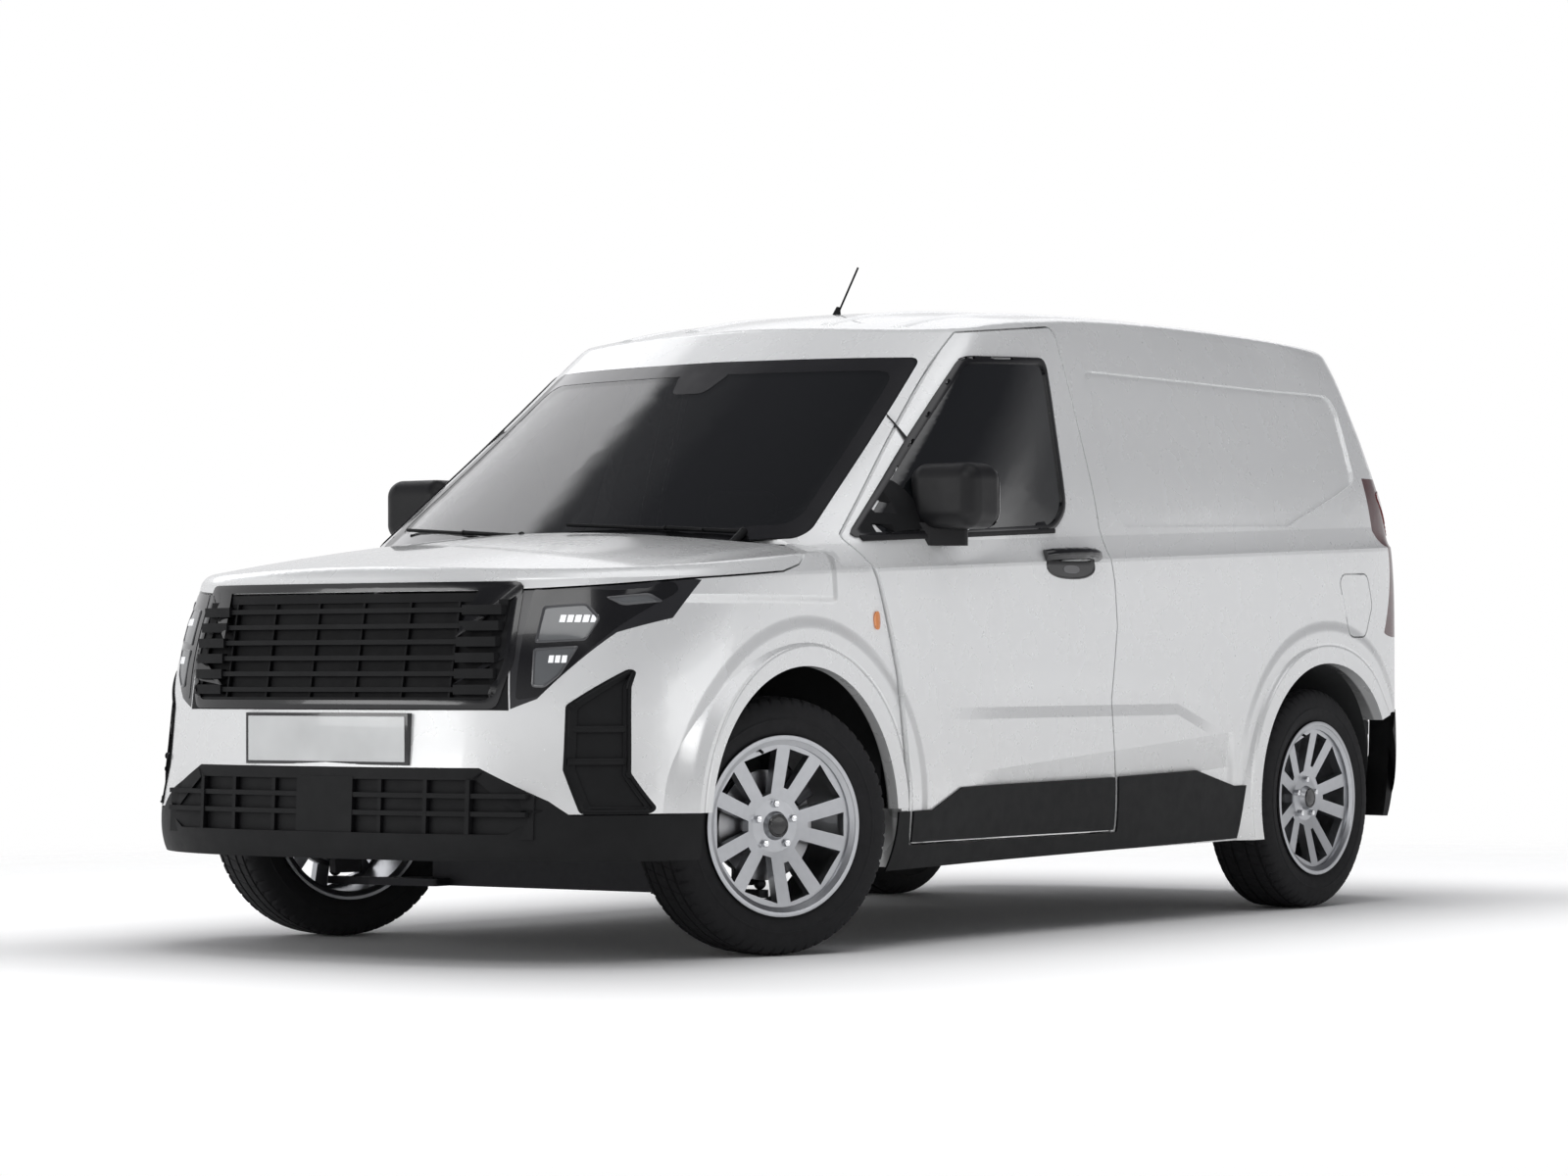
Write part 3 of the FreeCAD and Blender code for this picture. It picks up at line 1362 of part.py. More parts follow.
# Front subframe with the lower arms that hold the ball joints
def subframe_half():
    tube = size("subframe_tube")
    arm_top = ball_z - size("ball_radius") - seat
    arm_low = arm_top - tube / 3
    cross_y = front_axle_y + tube * 2
    beam_x = rail_x - tube
    beam = block(0, rail_x, cross_y - tube, cross_y + tube, arm_low, arm_top + tube)
    half = size("upright_wall") / 2
    arm = Part.Face(rounded_wire([
        Vector(beam_x, cross_y + tube, arm_low),
        Vector(beam_x, cross_y - 2 * tube, arm_low),
        Vector(size("strut_x"), front_axle_y - half, arm_low),
        Vector(ball_x + half, front_axle_y - half, arm_low),
        Vector(ball_x + half, front_axle_y + half, arm_low),
        Vector(size("strut_x"), front_axle_y + half, arm_low),
    ], tube / 4)).extrude(Vector(0, 0, arm_top - arm_low))
    post = block(rail_x - floor_wall, rail_x, cross_y - tube, cross_y + tube, arm_low, rail_low - seat)
    return beam.fuse([arm, post])


add("front_subframe", whole(solid_of(subframe_half())))
print("front axle")

# Rear axle: cross beam, trailing arms, springs and stub ends, one solid
def rear_axle_half():
    tube = size("axle_tube")
    stub_end = track_half - 2 * size("disc_wall") - seat
    arm_x = size("trailing_arm_x")
    pivot_y = rear_axle_y - size("trailing_arm_length")
    pivot_z = size("trailing_arm_pivot_height")
    beam_y = pivot_y + size("trailing_arm_length") * 0.6
    half = tube * 0.4
    arm = Part.Face(Part.makePolygon([
        Vector(arm_x - half, pivot_y - half, pivot_z - half),
        Vector(arm_x - half, pivot_y - half, pivot_z + half),
        Vector(arm_x - half, rear_axle_y + half, tyre_radius + half),
        Vector(arm_x - half, rear_axle_y + half, tyre_radius - half),
        Vector(arm_x - half, pivot_y - half, pivot_z - half),
    ])).extrude(Vector(2 * half, 0, 0))
    bush = rod(Vector(arm_x - tube, pivot_y, pivot_z), Vector(arm_x + half, pivot_y, pivot_z), tube / 2)
    hanger = block(arm_x - tube, arm_x - half, pivot_y - half, pivot_y + half, pivot_z, load_floor - seat)
    beam = rod(Vector(0, beam_y, pivot_z), Vector(arm_x, beam_y, pivot_z), half * 0.9)
    stub_tip = Vector(stub_end, rear_axle_y, tyre_radius)
    stub = rod(Vector(arm_x, rear_axle_y, tyre_radius), stub_tip, half * 0.9)
    spring_x = arm_x - half
    spring_top = Vector(spring_x, rear_axle_y, load_floor - seat)
    spring = rod(Vector(spring_x, rear_axle_y, tyre_radius), spring_top, tube / 2)
    return arm.fuse([bush, hanger, beam, stub, spring])


add("rear_axle", whole(solid_of(rear_axle_half())))


# Plain masses and pipes underneath
engine_reach = rail_x - floor_wall - seat
engine = block(-engine_reach, engine_reach, along(ENGINE_SHARES[0]), along(ENGINE_SHARES[1]),
               up(ENGINE_HEIGHT_SHARES[0]), up(ENGINE_HEIGHT_SHARES[1]))
add("engine_block", engine.makeFillet(size("edge_round") / 2, engine.Edges))
tank = block(-across(TANK_SHARES[1]), -across(TANK_SHARES[0]), along(TANK_SHARES[2]), along(TANK_SHARES[3]),
             up(TANK_SHARES[4]), load_floor - seat)
tank_edges = [edge for edge in tank.Edges if edge.BoundBox.ZMax < load_floor - gap]
add("fuel_tank", tank.makeFillet(size("edge_round") / 2, tank_edges))


def exhaust_shape():
    """Pipe swept along straight runs and tangent bends, with its silencer and a hanger."""
    radius = size("exhaust_radius")
    silencer = size("silencer_radius")
    z = cab_floor - radius * 1.5
    x = across(EXHAUST_SHARES[0])
    outer_x = across(EXHAUST_SHARES[1])
    y_start, y_turn, y_end = (along(s) for s in EXHAUST_RUN_SHARES)
    outer_turn = Vector(outer_x, y_turn + 2 * silencer, z)
    path = rounded_path([Vector(x, y_start, z), Vector(x, y_turn, z), outer_turn,
                         Vector(outer_x, y_end, z)], 3 * radius)
    ring = Part.Wire(Part.makeCircle(radius, Vector(x, y_start, z), Vector(0, 1, 0)))
    pipe = path.makePipeShell([ring], True, True)
    can_x = outer_x - silencer / 3
    can = rod(Vector(can_x, y_turn + silencer, z), Vector(can_x, y_turn + 4 * silencer, z), silencer)
    hang_y = y_start + radius
    hanger = block(x - radius / 2, x + radius / 2, hang_y, hang_y + 2 * radius, z, cab_floor - seat)
    return pipe.fuse([can, hanger])


def rounded_path(points, radius):
    """Open wire of straight runs joined by tangent arcs."""
    edges = []
    start = points[0]
    for before, corner, after in zip(points, points[1:], points[2:]):
        to_before = (before - corner).normalize()
        to_after = (after - corner).normalize()
        half_turn = (math.pi - to_before.getAngle(to_after)) / 2
        back = radius * math.tan(half_turn)
        a = corner + to_before * back
        b = corner + to_after * back
        bisector = (to_before + to_after).normalize()
        middle = corner + bisector * (math.hypot(back, radius) - radius)
        edges += [Part.makeLine(start, a), Part.Arc(a, middle, b).toShape()]
        start = b
    return Part.Wire(edges + [Part.makeLine(start, points[-1])])


add("exhaust", solid_of(exhaust_shape()))
print("underside")

# Steering wheel on its short column, leaning back over the driver's knees
def steering_wheel_shape():
    grip = size("steering_wheel_grip")
    radius = size("steering_wheel_radius")
    ring = Part.makeTorus(radius, grip)
    hub = Part.makeCylinder(radius * 0.36, grip * 2.2, Vector(0, 0, -grip * 1.6))
    column = Part.makeCylinder(grip * 1.3, size("column_length") - seat, Vector(0, 0, -size("column_length")))
    spokes = []
    for angle in (0, 180, 270):
        spoke = Part.makeBox(radius, grip * 2, grip, Vector(0, -grip, -grip / 2))
        spoke.rotate(Vector(0, 0, 0), Vector(0, 0, 1), angle)
        spokes.append(spoke.common(Part.makeCylinder(radius, grip * 4, Vector(0, 0, -grip * 2))))
    return ring.fuse([hub, column] + spokes)


column_tilt = Rotation(Vector(1, 0, 0), -size("column_tilt_deg"))
wheel_centre = Vector(driver_x, along(STEERING_WHEEL_SHARES[0]), up(STEERING_WHEEL_SHARES[1]))
wheel_shape = steering_wheel_shape()
wheel_shape.Placement = Placement(wheel_centre, column_tilt)
add("steering_wheel", wheel_shape)
column_end = wheel_centre + column_tilt.multVec(Vector(0, 0, -size("column_length") - seat))
socket = rod(column_end, column_end + column_tilt.multVec(Vector(0, 0, -size("column_length"))),
             size("steering_wheel_grip") * 2)
dash = parts["dashboard"].Shape
clear = rod(wheel_centre, column_end, size("steering_wheel_radius") * 0.5)
parts["dashboard"].Shape = solid_of(dash.cut(clear).fuse(socket))


# Door mirrors: rounded housing and the arm to the door
def mirror_shape():
    width, height, depth = size("mirror_width"), size("mirror_height"), size("mirror_depth")
    x0, y0, z0 = across(MIRROR_SHARES[0]), along(MIRROR_SHARES[1]), up(MIRROR_SHARES[2])
    housing = block(x0, x0 + width, y0, y0 + depth, z0, z0 + height)
    housing = housing.makeFillet(depth * 0.3, housing.Edges)
    root = across(MIRROR_ROOT_SHARE)
    arm = top_prism([(root, along(MIRROR_FOOT_SHARES[0])), (root, along(MIRROR_FOOT_SHARES[1])),
                     (x0 + width * 0.85, y0 + depth * 0.85), (x0 + width * 0.30, y0 + depth * 0.15)],
                    z0 - height * 0.25, z0 + height * 0.1, depth * 0.1)
    foot_y = along(MIRROR_FOOT_SHARES[0]) - overrun
    body = cab_outer.common(block(flank_x, WIDE, foot_y, y0 + 2 * depth, z0 - height, z0 + 2 * height))
    return solid_of(housing.fuse(arm).cut(body.translated(Vector(seat, 0, 0))))


add("mirror_left", mirror_shape())
add("mirror_right", mirrored(parts["mirror_left"].Shape))

# Antenna on the roof's front, raked back
foot_radius = size("antenna_radius") * 5
antenna_foot = Vector(0, along(ANTENNA_SHARES[0]), up(ANTENNA_SHARES[1]))
rake = math.radians(size("antenna_rake_deg"))
rake_line = Vector(0, math.sin(rake), math.cos(rake))
antenna = Part.makeCone(foot_radius, size("antenna_radius") * 2, foot_radius * 2.2, antenna_foot,
                        Vector(0, math.sin(rake) / 2, math.cos(rake)))
mast_tip = antenna_foot + rake_line * size("antenna_length")
antenna = antenna.fuse(rod(antenna_foot, mast_tip, size("antenna_radius")))
roof_block = cab_outer.common(block(-overrun, overrun, along(ANTENNA_SHARES[0]) - 2 * overrun,
                                    along(ANTENNA_SHARES[0]) + 2 * overrun, mast_z, TOP))
add("antenna", solid_of(antenna.cut(roof_block.translated(Vector(0, 0, seat)))))


# Wipers: two arms with blades, parked along the foot of the windscreen
def wiper(x_pivot, x_mid, x_tip):
    width = size("wiper_width")
    low, high = up(WIPER_HEIGHT_SHARES[0]), up(WIPER_HEIGHT_SHARES[1])

    def spot(x, z, lift):
        reach = across(table(UPPER_LEVEL_SHARES, z / roof_height, 1))
        depth = wheelbase * table(CAB_DEPTH_SHARES, z / roof_height, 1)
        bow = depth * (1 - math.sqrt(1 - (abs(x) / reach) ** CAP_SQUARENESS))
        return Vector(x, screen_y(z) + bow - lift, z)

    lift = width * 2
    cowl_top = up(COWL_SHARES[2])
    root = spot(x_pivot, cowl_top, cowl_step / 2)
    pivot = spot(x_pivot, low, cowl_step / 2)
    joint = spot(x_mid, (low + high) / 2, lift * 1.1)
    blade_a = spot((x_pivot + x_mid) / 2, low + width / 2, lift)
    blade_b = spot(x_tip, high, lift)
    stub = rod(root, pivot, width * 0.9)
    arm = rod(pivot, joint, width / 2)
    arm = arm.fuse([stub, rod(blade_a, blade_b, width / 2.5), Part.makeSphere(width, pivot),
                    Part.makeSphere(width * 0.6, joint)])
    glass = screen_block.translated(Vector(0, -seat, 0))
    return arm.cut(block(-WIDE, WIDE, -FAR, 0, 0, cowl_top + seat)).cut(glass).cut(mirrored(glass))


add("wipers", Part.makeCompound([
    solid_of(wiper(*[across(s) for s in WIPER_LEFT_SHARES])),
    solid_of(wiper(*[across(s) for s in WIPER_RIGHT_SHARES])),
]))
print("small parts")

doc.recompute()
os.makedirs("parts", exist_ok=True)
for item in doc.Objects:
    if "Invalid" in item.State or "Error" in item.State:
        raise RuntimeError("%s failed: %s" % (item.Label, item.State))
for name, item in parts.items():
    shape = item.Shape
    if shape.isNull() or not shape.isValid() or shape.Volume <= 0 or not shape.Solids:
        raise RuntimeError("%s has no valid solid" % name)
for name, item in parts.items():
    item.Shape.exportStep("parts/%s.step" % name)
print("%d parts written" % len(parts))
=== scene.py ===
"""Looks of the panel van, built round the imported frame. Metres, front towards -Y, left side +X, up +Z."""
import bpy
import bmesh
import json
import math
from mathutils import Matrix, Vector
from mathutils.bvhtree import BVHTree

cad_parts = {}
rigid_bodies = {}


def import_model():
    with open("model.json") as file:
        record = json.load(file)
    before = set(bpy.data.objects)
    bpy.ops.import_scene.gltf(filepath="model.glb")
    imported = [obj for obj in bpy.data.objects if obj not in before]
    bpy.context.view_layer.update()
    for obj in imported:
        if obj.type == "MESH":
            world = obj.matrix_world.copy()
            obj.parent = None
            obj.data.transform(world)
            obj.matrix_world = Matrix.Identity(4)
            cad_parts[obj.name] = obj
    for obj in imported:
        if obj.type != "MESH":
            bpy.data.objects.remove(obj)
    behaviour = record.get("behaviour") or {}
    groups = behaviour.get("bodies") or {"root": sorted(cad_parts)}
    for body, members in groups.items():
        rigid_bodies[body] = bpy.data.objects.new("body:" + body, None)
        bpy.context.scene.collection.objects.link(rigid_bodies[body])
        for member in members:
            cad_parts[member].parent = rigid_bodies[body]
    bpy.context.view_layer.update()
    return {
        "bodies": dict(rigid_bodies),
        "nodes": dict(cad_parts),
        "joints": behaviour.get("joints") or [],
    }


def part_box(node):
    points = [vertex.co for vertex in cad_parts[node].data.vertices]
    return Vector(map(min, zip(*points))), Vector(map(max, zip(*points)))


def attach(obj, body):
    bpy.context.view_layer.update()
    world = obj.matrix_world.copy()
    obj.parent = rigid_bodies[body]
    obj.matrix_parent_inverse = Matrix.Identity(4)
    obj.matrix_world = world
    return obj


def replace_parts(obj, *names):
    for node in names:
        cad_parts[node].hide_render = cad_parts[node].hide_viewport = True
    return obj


for spare in list(bpy.data.objects):
    bpy.data.objects.remove(spare)
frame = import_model()
nodes = frame["nodes"]

FRONT_AXLE_Y = -1.2985
REAR_AXLE_Y = 1.3935
TYRE_RADIUS = 0.333


# Materials

class Value:
    """A shader value that is worked like a number."""

    def __init__(self, tree, socket):
        self.tree = tree
        self.socket = socket

    def step(self, operation, *others):
        node = self.tree.nodes.new("ShaderNodeMath")
        node.operation = operation
        for socket, value in zip(node.inputs, (self, *others)):
            put(self.tree, socket, value)
        return Value(self.tree, node.outputs["Value"])

    def __add__(self, other):
        return self.step("ADD", other)

    def __sub__(self, other):
        return self.step("SUBTRACT", other)

    def __mul__(self, other):
        return self.step("MULTIPLY", other)

    def __abs__(self):
        return self.step("ABSOLUTE")

    def at_least(self, low):
        return self.step("MAXIMUM", low)

    def at_most(self, high):
        return self.step("MINIMUM", high)

    def hypot(self, other):
        return (self * self + other * other).step("SQRT")

    def mapped(self, kind, limits):
        node = self.tree.nodes.new("ShaderNodeMapRange")
        node.interpolation_type = kind
        put(self.tree, node.inputs["Value"], self)
        for socket, value in zip(node.inputs[1:5], limits):
            socket.default_value = value
        return Value(self.tree, node.outputs["Result"])

    def spread(self, low, high):
        """A 0 to 1 value stretched to low to high."""
        return self.mapped("LINEAR", (0.0, 1.0, low, high))

    def eased(self, start, end):
        """0 before start, 1 after end, smooth between; start may be the larger."""
        low, high = (0.0, 1.0) if start < end else (1.0, 0.0)
        return self.mapped("SMOOTHSTEP", (min(start, end), max(start, end), low, high))


def put(tree, socket, value):
    """A shader value, a colour or a number into a socket."""
    if isinstance(value, Value):
        tree.links.new(value.socket, socket)
    elif isinstance(value, tuple) and len(value) == 3 and socket.type == "RGBA":
        socket.default_value = (*value, 1)
    else:
        socket.default_value = value


class Graph:
    """The nodes of one material or world."""

    def __init__(self, tree, shader):
        self.tree = tree
        self.shader = shader

    def made(self, kind, output, inputs=(), **settings):
        """Output of a new node with its inputs and settings."""
        node = self.tree.nodes.new("ShaderNode" + kind)
        for key, setting in settings.items():
            setattr(node, key, setting)
        for key, value in dict(inputs).items():
            put(self.tree, node.inputs[key], value)
        return Value(self.tree, node.outputs[output])

    def feed(self, **inputs):
        """Values into the shader's sockets, spaces written as underscores."""
        for key, value in inputs.items():
            put(self.tree, self.shader.inputs[key.replace("_", " ")], value)

    def place(self):
        return self.made("TexCoord", "Object")

    def axes(self):
        """Object coordinates as three values."""
        split = self.tree.nodes.new("ShaderNodeSeparateXYZ")
        put(self.tree, split.inputs["Vector"], self.place())
        return [Value(self.tree, split.outputs[axis]) for axis in "XYZ"]

    def noise(self, scale, detail=4.0, roughness=0.5):
        inputs = {"Vector": self.place(), "Scale": scale, "Detail": detail, "Roughness": roughness}
        return self.made("TexNoise", "Fac", inputs)

    def mixed(self, share, a, b):
        """Two colours mixed by a share."""
        node = self.tree.nodes.new("ShaderNodeMix")
        node.data_type = "RGBA"
        for socket, value in ((node.inputs[0], share), (node.inputs[6], a), (node.inputs[7], b)):
            put(self.tree, socket, value)
        return Value(self.tree, node.outputs[2])

    def bump(self, height, distance, strength=1.0):
        inputs = {"Distance": distance, "Strength": strength, "Height": height}
        self.feed(Normal=self.made("Bump", "Normal", inputs))


def new_material(name, color, roughness, metallic=0.0):
    """Material and the graph of its Principled shader."""
    material = bpy.data.materials.new(name)
    material.use_nodes = True
    graph = Graph(material.node_tree, material.node_tree.nodes["Principled BSDF"])
    graph.feed(Base_Color=color, Roughness=roughness, Metallic=metallic)
    return material, graph


def shaded(color, share, more=0.0):
    return tuple(share * c + more for c in color)


BELT_LINE = (1.0245, 0.0365)
SHELF_WIDTH = 0.075
SHELF_DEPTH = 0.010
SWELL_TOP_Z = 0.628
SWELL_SPAN = (-0.66, 0.52)
SWELL_END = (0.8015, 0.539)
SCOOP_DEPTH = 0.009
SCOOP_HEIGHT = 0.13
SCOOP_LIP = 0.032
SCOOP_POWER = 1.3
SCOOP_START = (-0.86, -0.31)
SCOOP_STOP = (0.8215, 0.5815)
UNDERCUT_LINE = (0.487, 0.066)
UNDERCUT_SLOPE = 0.48
UNDERCUT_WIDTH = 0.100
UNDERCUT_START = (-0.60, -0.36)
UNDERCUT_STOP = (0.86, 0.80)
ARCH_CENTRE_Z = 0.340
ARCH_RING_R = 0.515
ARCH_LINE_R = 0.458
RING_EDGE = 0.020
RING_RISE = 0.0075
RING_HOLLOW = (0.16, 0.004)
LINE_GROOVE = (0.007, 0.0022)
FLANK_X = (0.70, 0.80)


def arch_radii(y, z):
    """Distance to each of the two wheel arch centres, seen from the side."""
    return [(y - centre).hypot(z - ARCH_CENTRE_Z) for centre in (FRONT_AXLE_Y, REAR_AXLE_Y)]


def side_relief(x, y, z):
    """Height in metres of the flank's creases: belt shelf, door scoop, sill undercut and arch rings."""
    belt = z - (y * BELT_LINE[1] + BELT_LINE[0])
    total = belt.at_most(SHELF_WIDTH).at_least(0.0) * (-SHELF_DEPTH / SHELF_WIDTH)
    fall = (SWELL_TOP_Z - SWELL_END[1]) / (SWELL_END[0] - SWELL_SPAN[1])
    over = z - ((y - SWELL_SPAN[1]).at_least(0.0) * -fall + SWELL_TOP_Z)
    below = (over * (1 / SCOOP_LIP) + 1.0).at_least(0.0)
    valley = over.eased(SCOOP_HEIGHT, 0.0).step("POWER", SCOOP_POWER).step("MINIMUM", below)
    total = total + valley * (y.eased(*SCOOP_START) * y.eased(*SCOOP_STOP)) * -SCOOP_DEPTH
    under = (y * UNDERCUT_LINE[1] + UNDERCUT_LINE[0] - z).at_most(UNDERCUT_WIDTH).at_least(0.0)
    total = total + under * -UNDERCUT_SLOPE * (y.eased(*UNDERCUT_START) * y.eased(*UNDERCUT_STOP))
    for radius in arch_radii(y, z):
        ring = radius.eased(ARCH_RING_R + RING_EDGE, ARCH_RING_R - RING_EDGE) * RING_RISE
        outside = radius.eased(ARCH_RING_R - RING_EDGE, ARCH_RING_R + RING_EDGE)
        hollow = radius.eased(ARCH_RING_R + RING_HOLLOW[0], ARCH_RING_R) * outside * -RING_HOLLOW[1]
        groove = abs(radius - ARCH_LINE_R).eased(LINE_GROOVE[0], 0.0) * -LINE_GROOVE[1]
        total = total + ring + groove + hollow
    return total * abs(x).eased(*FLANK_X)


SHOULDER_LINE = (-0.46, -0.45)
SHOULDER_FLANK = 0.085
SHOULDER_HEIGHT = 0.011
SHOULDER_FADE_Y = (-2.02, -1.62)
BONNET_Z = (0.90, 0.925)
BONNET_END_Y = (-1.16, -1.19)


def bonnet_relief(x, y, z):
    """Height in metres of the bonnet's two raised shoulders, closing towards the screen."""
    out = abs(x) - (y * SHOULDER_LINE[1] + SHOULDER_LINE[0])
    rise = out.eased(0.0, SHOULDER_FLANK) * SHOULDER_HEIGHT * y.eased(*SHOULDER_FADE_Y)
    return rise * (z.eased(*BONNET_Z) * y.eased(*BONNET_END_Y))


PAINT_METALLIC = 0.30
PAINT_COAT = 0.90
LINER_COLOR = (0.012, 0.012, 0.013)
LINER_RADIUS = (0.412, 0.400)
LINER_X = (0.872, 0.862)
DUST_Z = (0.20, 0.75, 0.55, 0.0)
DUST_COLOR = (0.66, 0.65, 0.63)
PEEL_SCALE = 70.0
PEEL_HEIGHT = 0.000006


def make_paint():
    """White paint under clear coat: pressed creases, road film low down, black liner in the wheel arches."""
    material, graph = new_material("body_paint", (0.80, 0.81, 0.81), 0.30, PAINT_METALLIC)
    x, y, z = graph.axes()
    near, far = [radius.eased(*LINER_RADIUS) for radius in arch_radii(y, z)]
    liner = abs(x).eased(*LINER_X) * near.step("MAXIMUM", far)
    dust = z.mapped("LINEAR", DUST_Z) * graph.noise(6.0, 5.0, 0.6)
    tint = graph.mixed(graph.noise(1.2, 2.0), (0.83, 0.84, 0.842), (0.85, 0.86, 0.862))
    graph.feed(Base_Color=graph.mixed(liner, graph.mixed(dust, tint, DUST_COLOR), LINER_COLOR),
               Metallic=liner * -PAINT_METALLIC + PAINT_METALLIC,
               Coat_Weight=liner * -PAINT_COAT + PAINT_COAT,
               Coat_Roughness=0.05, Roughness=graph.noise(9.0).spread(0.24, 0.31))
    peel = graph.noise(PEEL_SCALE, 2.0) * PEEL_HEIGHT
    graph.bump(side_relief(x, y, z) + bonnet_relief(x, y, z) + peel, 1.0)
    return material


# Painted shade: plastics are darkened towards this colour in corners and recesses that ambient occlusion
# finds within this reach.
PAINTED_SHADE_REACH = 0.06
PAINTED_SHADE_OPEN = (0.25, 0.95)
PAINTED_SHADE_COLOR = (0.004, 0.004, 0.005)


def make_plastic(name, color, rough, grain, depth, shine=0.25):
    """Moulded plastic with a fine leather-like grain, slightly polished high spots and painted shade
    darkening its corners and recesses.
    """
    material, graph = new_material(name, color, rough)
    corner_shade = graph.made("AmbientOcclusion", "AO", {"Distance": PAINTED_SHADE_REACH}, samples=4)
    tone = graph.mixed(graph.noise(14.0), shaded(color, 0.8), shaded(color, 1.25, 0.002))
    # Painted shade: the base colour falls to near black where ambient occlusion finds the surface closed in.
    graph.feed(Base_Color=graph.mixed(corner_shade.eased(*PAINTED_SHADE_OPEN), PAINTED_SHADE_COLOR, tone),
               Specular_IOR_Level=shine,
               Roughness=graph.noise(30.0).spread(rough - 0.08, rough + 0.1))
    cells = graph.made("TexVoronoi", "Distance", {"Vector": graph.place(), "Scale": grain})
    graph.bump(cells, depth, 0.6)
    return material


def make_gloss(name, color, rough=0.12):
    """Smooth moulded plastic with faint flow marks."""
    material, graph = new_material(name, color, rough)
    graph.feed(Base_Color=graph.mixed(graph.noise(8.0, 2.0), color, shaded(color, 1.4, 0.003)),
               Coat_Weight=0.4,
               Roughness=graph.noise(20.0).spread(rough, rough + 0.08))
    return material


def make_glass(name, color, alpha):
    """Tinted pane: mostly seen by its reflections."""
    material, graph = new_material(name, color, 0.02)
    graph.feed(Alpha=alpha, Coat_Weight=1.0, Coat_Roughness=0.02, Specular_IOR_Level=0.7,
               Roughness=graph.noise(3.0).spread(0.015, 0.05))
    return material


def make_lens(name, color, alpha):
    """Clear or coloured lamp lens with moulded flutes."""
    material, graph = new_material(name, color, 0.05)
    graph.feed(Alpha=alpha, Coat_Weight=1.0)
    waves = graph.made("TexWave", "Fac", {"Vector": graph.place(), "Scale": 38.0})
    graph.bump(waves, 0.0004, 0.25)
    return material


def make_metal(name, color, rough, grain=60.0):
    """Painted or machined metal with soft mottling."""
    material, graph = new_material(name, color, rough, 1.0)
    graph.feed(Base_Color=graph.mixed(graph.noise(grain), shaded(color, 0.85), color),
               Roughness=graph.noise(grain * 2).spread(rough - 0.06, rough + 0.1))
    graph.bump(graph.noise(grain * 8), 0.0001, 0.3)
    return material


def make_rubber(name, color, rough):
    """Tyre and seal rubber, dusty in the low places."""
    material, graph = new_material(name, color, rough)
    graph.feed(Base_Color=graph.mixed(graph.noise(22.0, 6.0, 0.7), color, shaded(color, 1.6, 0.004)),
               Roughness=graph.noise(60.0).spread(rough - 0.1, rough + 0.1), Specular_IOR_Level=0.25)
    graph.bump(graph.noise(900.0), 0.0002, 0.4)
    return material


def make_cloth(name, color):
    """Woven seat cloth: crossed threads and sheen."""
    material, graph = new_material(name, color, 0.9)
    threads = {"Vector": graph.place(), "Scale": 260.0, "Distortion": 1.2}
    across, along = [graph.made("TexWave", "Fac", threads, bands_direction=way) for way in ("X", "Z")]
    weave = across * along
    graph.feed(Base_Color=graph.mixed(weave, color, shaded(color, 1.9, 0.01)), Sheen_Weight=0.5)
    graph.bump(weave, 0.0006, 0.8)
    return material


PAINT = make_paint()
TRIM = make_plastic("black_trim", (0.0085, 0.0088, 0.0095), 0.55, 700.0, 0.0003, 0.18)
GLOSS = make_gloss("gloss_black", (0.006, 0.006, 0.007))
MIRROR_CASE = make_plastic("mirror_case", (0.010, 0.010, 0.011), 0.42, 800.0, 0.0002, 0.3)
MIRROR_FACE = make_metal("mirror_face", (0.80, 0.82, 0.84), 0.04)
GLASS = make_glass("tinted_glass", (0.006, 0.007, 0.008), 0.60)
SIDE_GLASS = make_glass("side_glass", (0.004, 0.005, 0.006), 0.90)
FRIT = make_gloss("glass_frit", (0.008, 0.008, 0.009), 0.08)
LENS = make_lens("clear_lens", (0.75, 0.78, 0.82), 0.25)
RED_LENS = make_lens("red_lens", (0.22, 0.010, 0.012), 0.96)
AMBER = make_lens("amber_lens", (0.75, 0.22, 0.02), 0.95)
TAIL_CASE = make_gloss("tail_case", (0.055, 0.006, 0.008), 0.10)
LAMP_MASK = make_gloss("lamp_mask", (0.018, 0.018, 0.020), 0.18)
LAMP_PANE = make_gloss("lamp_pane", (0.10, 0.105, 0.11), 0.06)
LAMP_FRAME = make_gloss("lamp_frame", (0.055, 0.056, 0.060), 0.22)
CHROME = make_metal("chrome", (0.85, 0.86, 0.88), 0.10)
ALLOY = make_metal("alloy_paint", (0.50, 0.51, 0.53), 0.30)
STEEL = make_metal("dark_steel", (0.075, 0.075, 0.08), 0.55)
DISC_STEEL = make_metal("disc_steel", (0.38, 0.38, 0.39), 0.30)
PIPE = make_metal("pipe_steel", (0.36, 0.35, 0.34), 0.42)
RUBBER = make_rubber("tyre_rubber", (0.010, 0.010, 0.011), 0.78)
SEAL = make_rubber("seal_rubber", (0.010, 0.010, 0.011), 0.6)
CABIN = make_plastic("cabin_plastic", (0.024, 0.025, 0.027), 0.6, 900.0, 0.0002)
CLOTH = make_cloth("seat_cloth", (0.035, 0.037, 0.042))
UNDERBODY = make_plastic("underbody_coat", (0.030, 0.031, 0.032), 0.8, 300.0, 0.0004)
PLATE = make_gloss("blank_plate", (0.50, 0.51, 0.51), 0.3)
# Painted highlight: a paler grey laid in each handle's grab cup where light would glint.
CUP_GLINT_PAINT = make_gloss("handle_dish", (0.10, 0.10, 0.105), 0.25)
LED, led_graph = new_material("led_bar", (0.93, 0.94, 0.95), 0.15)
led_graph.feed(Emission_Color=(0.95, 0.97, 1.0), Emission_Strength=0.25,
               Roughness=led_graph.noise(90.0).spread(0.10, 0.22))

WHEEL_MARKS = ("fl", "fr", "rl", "rr")


def both(*stems):
    """Left and right names of each stem."""
    return tuple(stem + side for stem in stems for side in ("_left", "_right"))


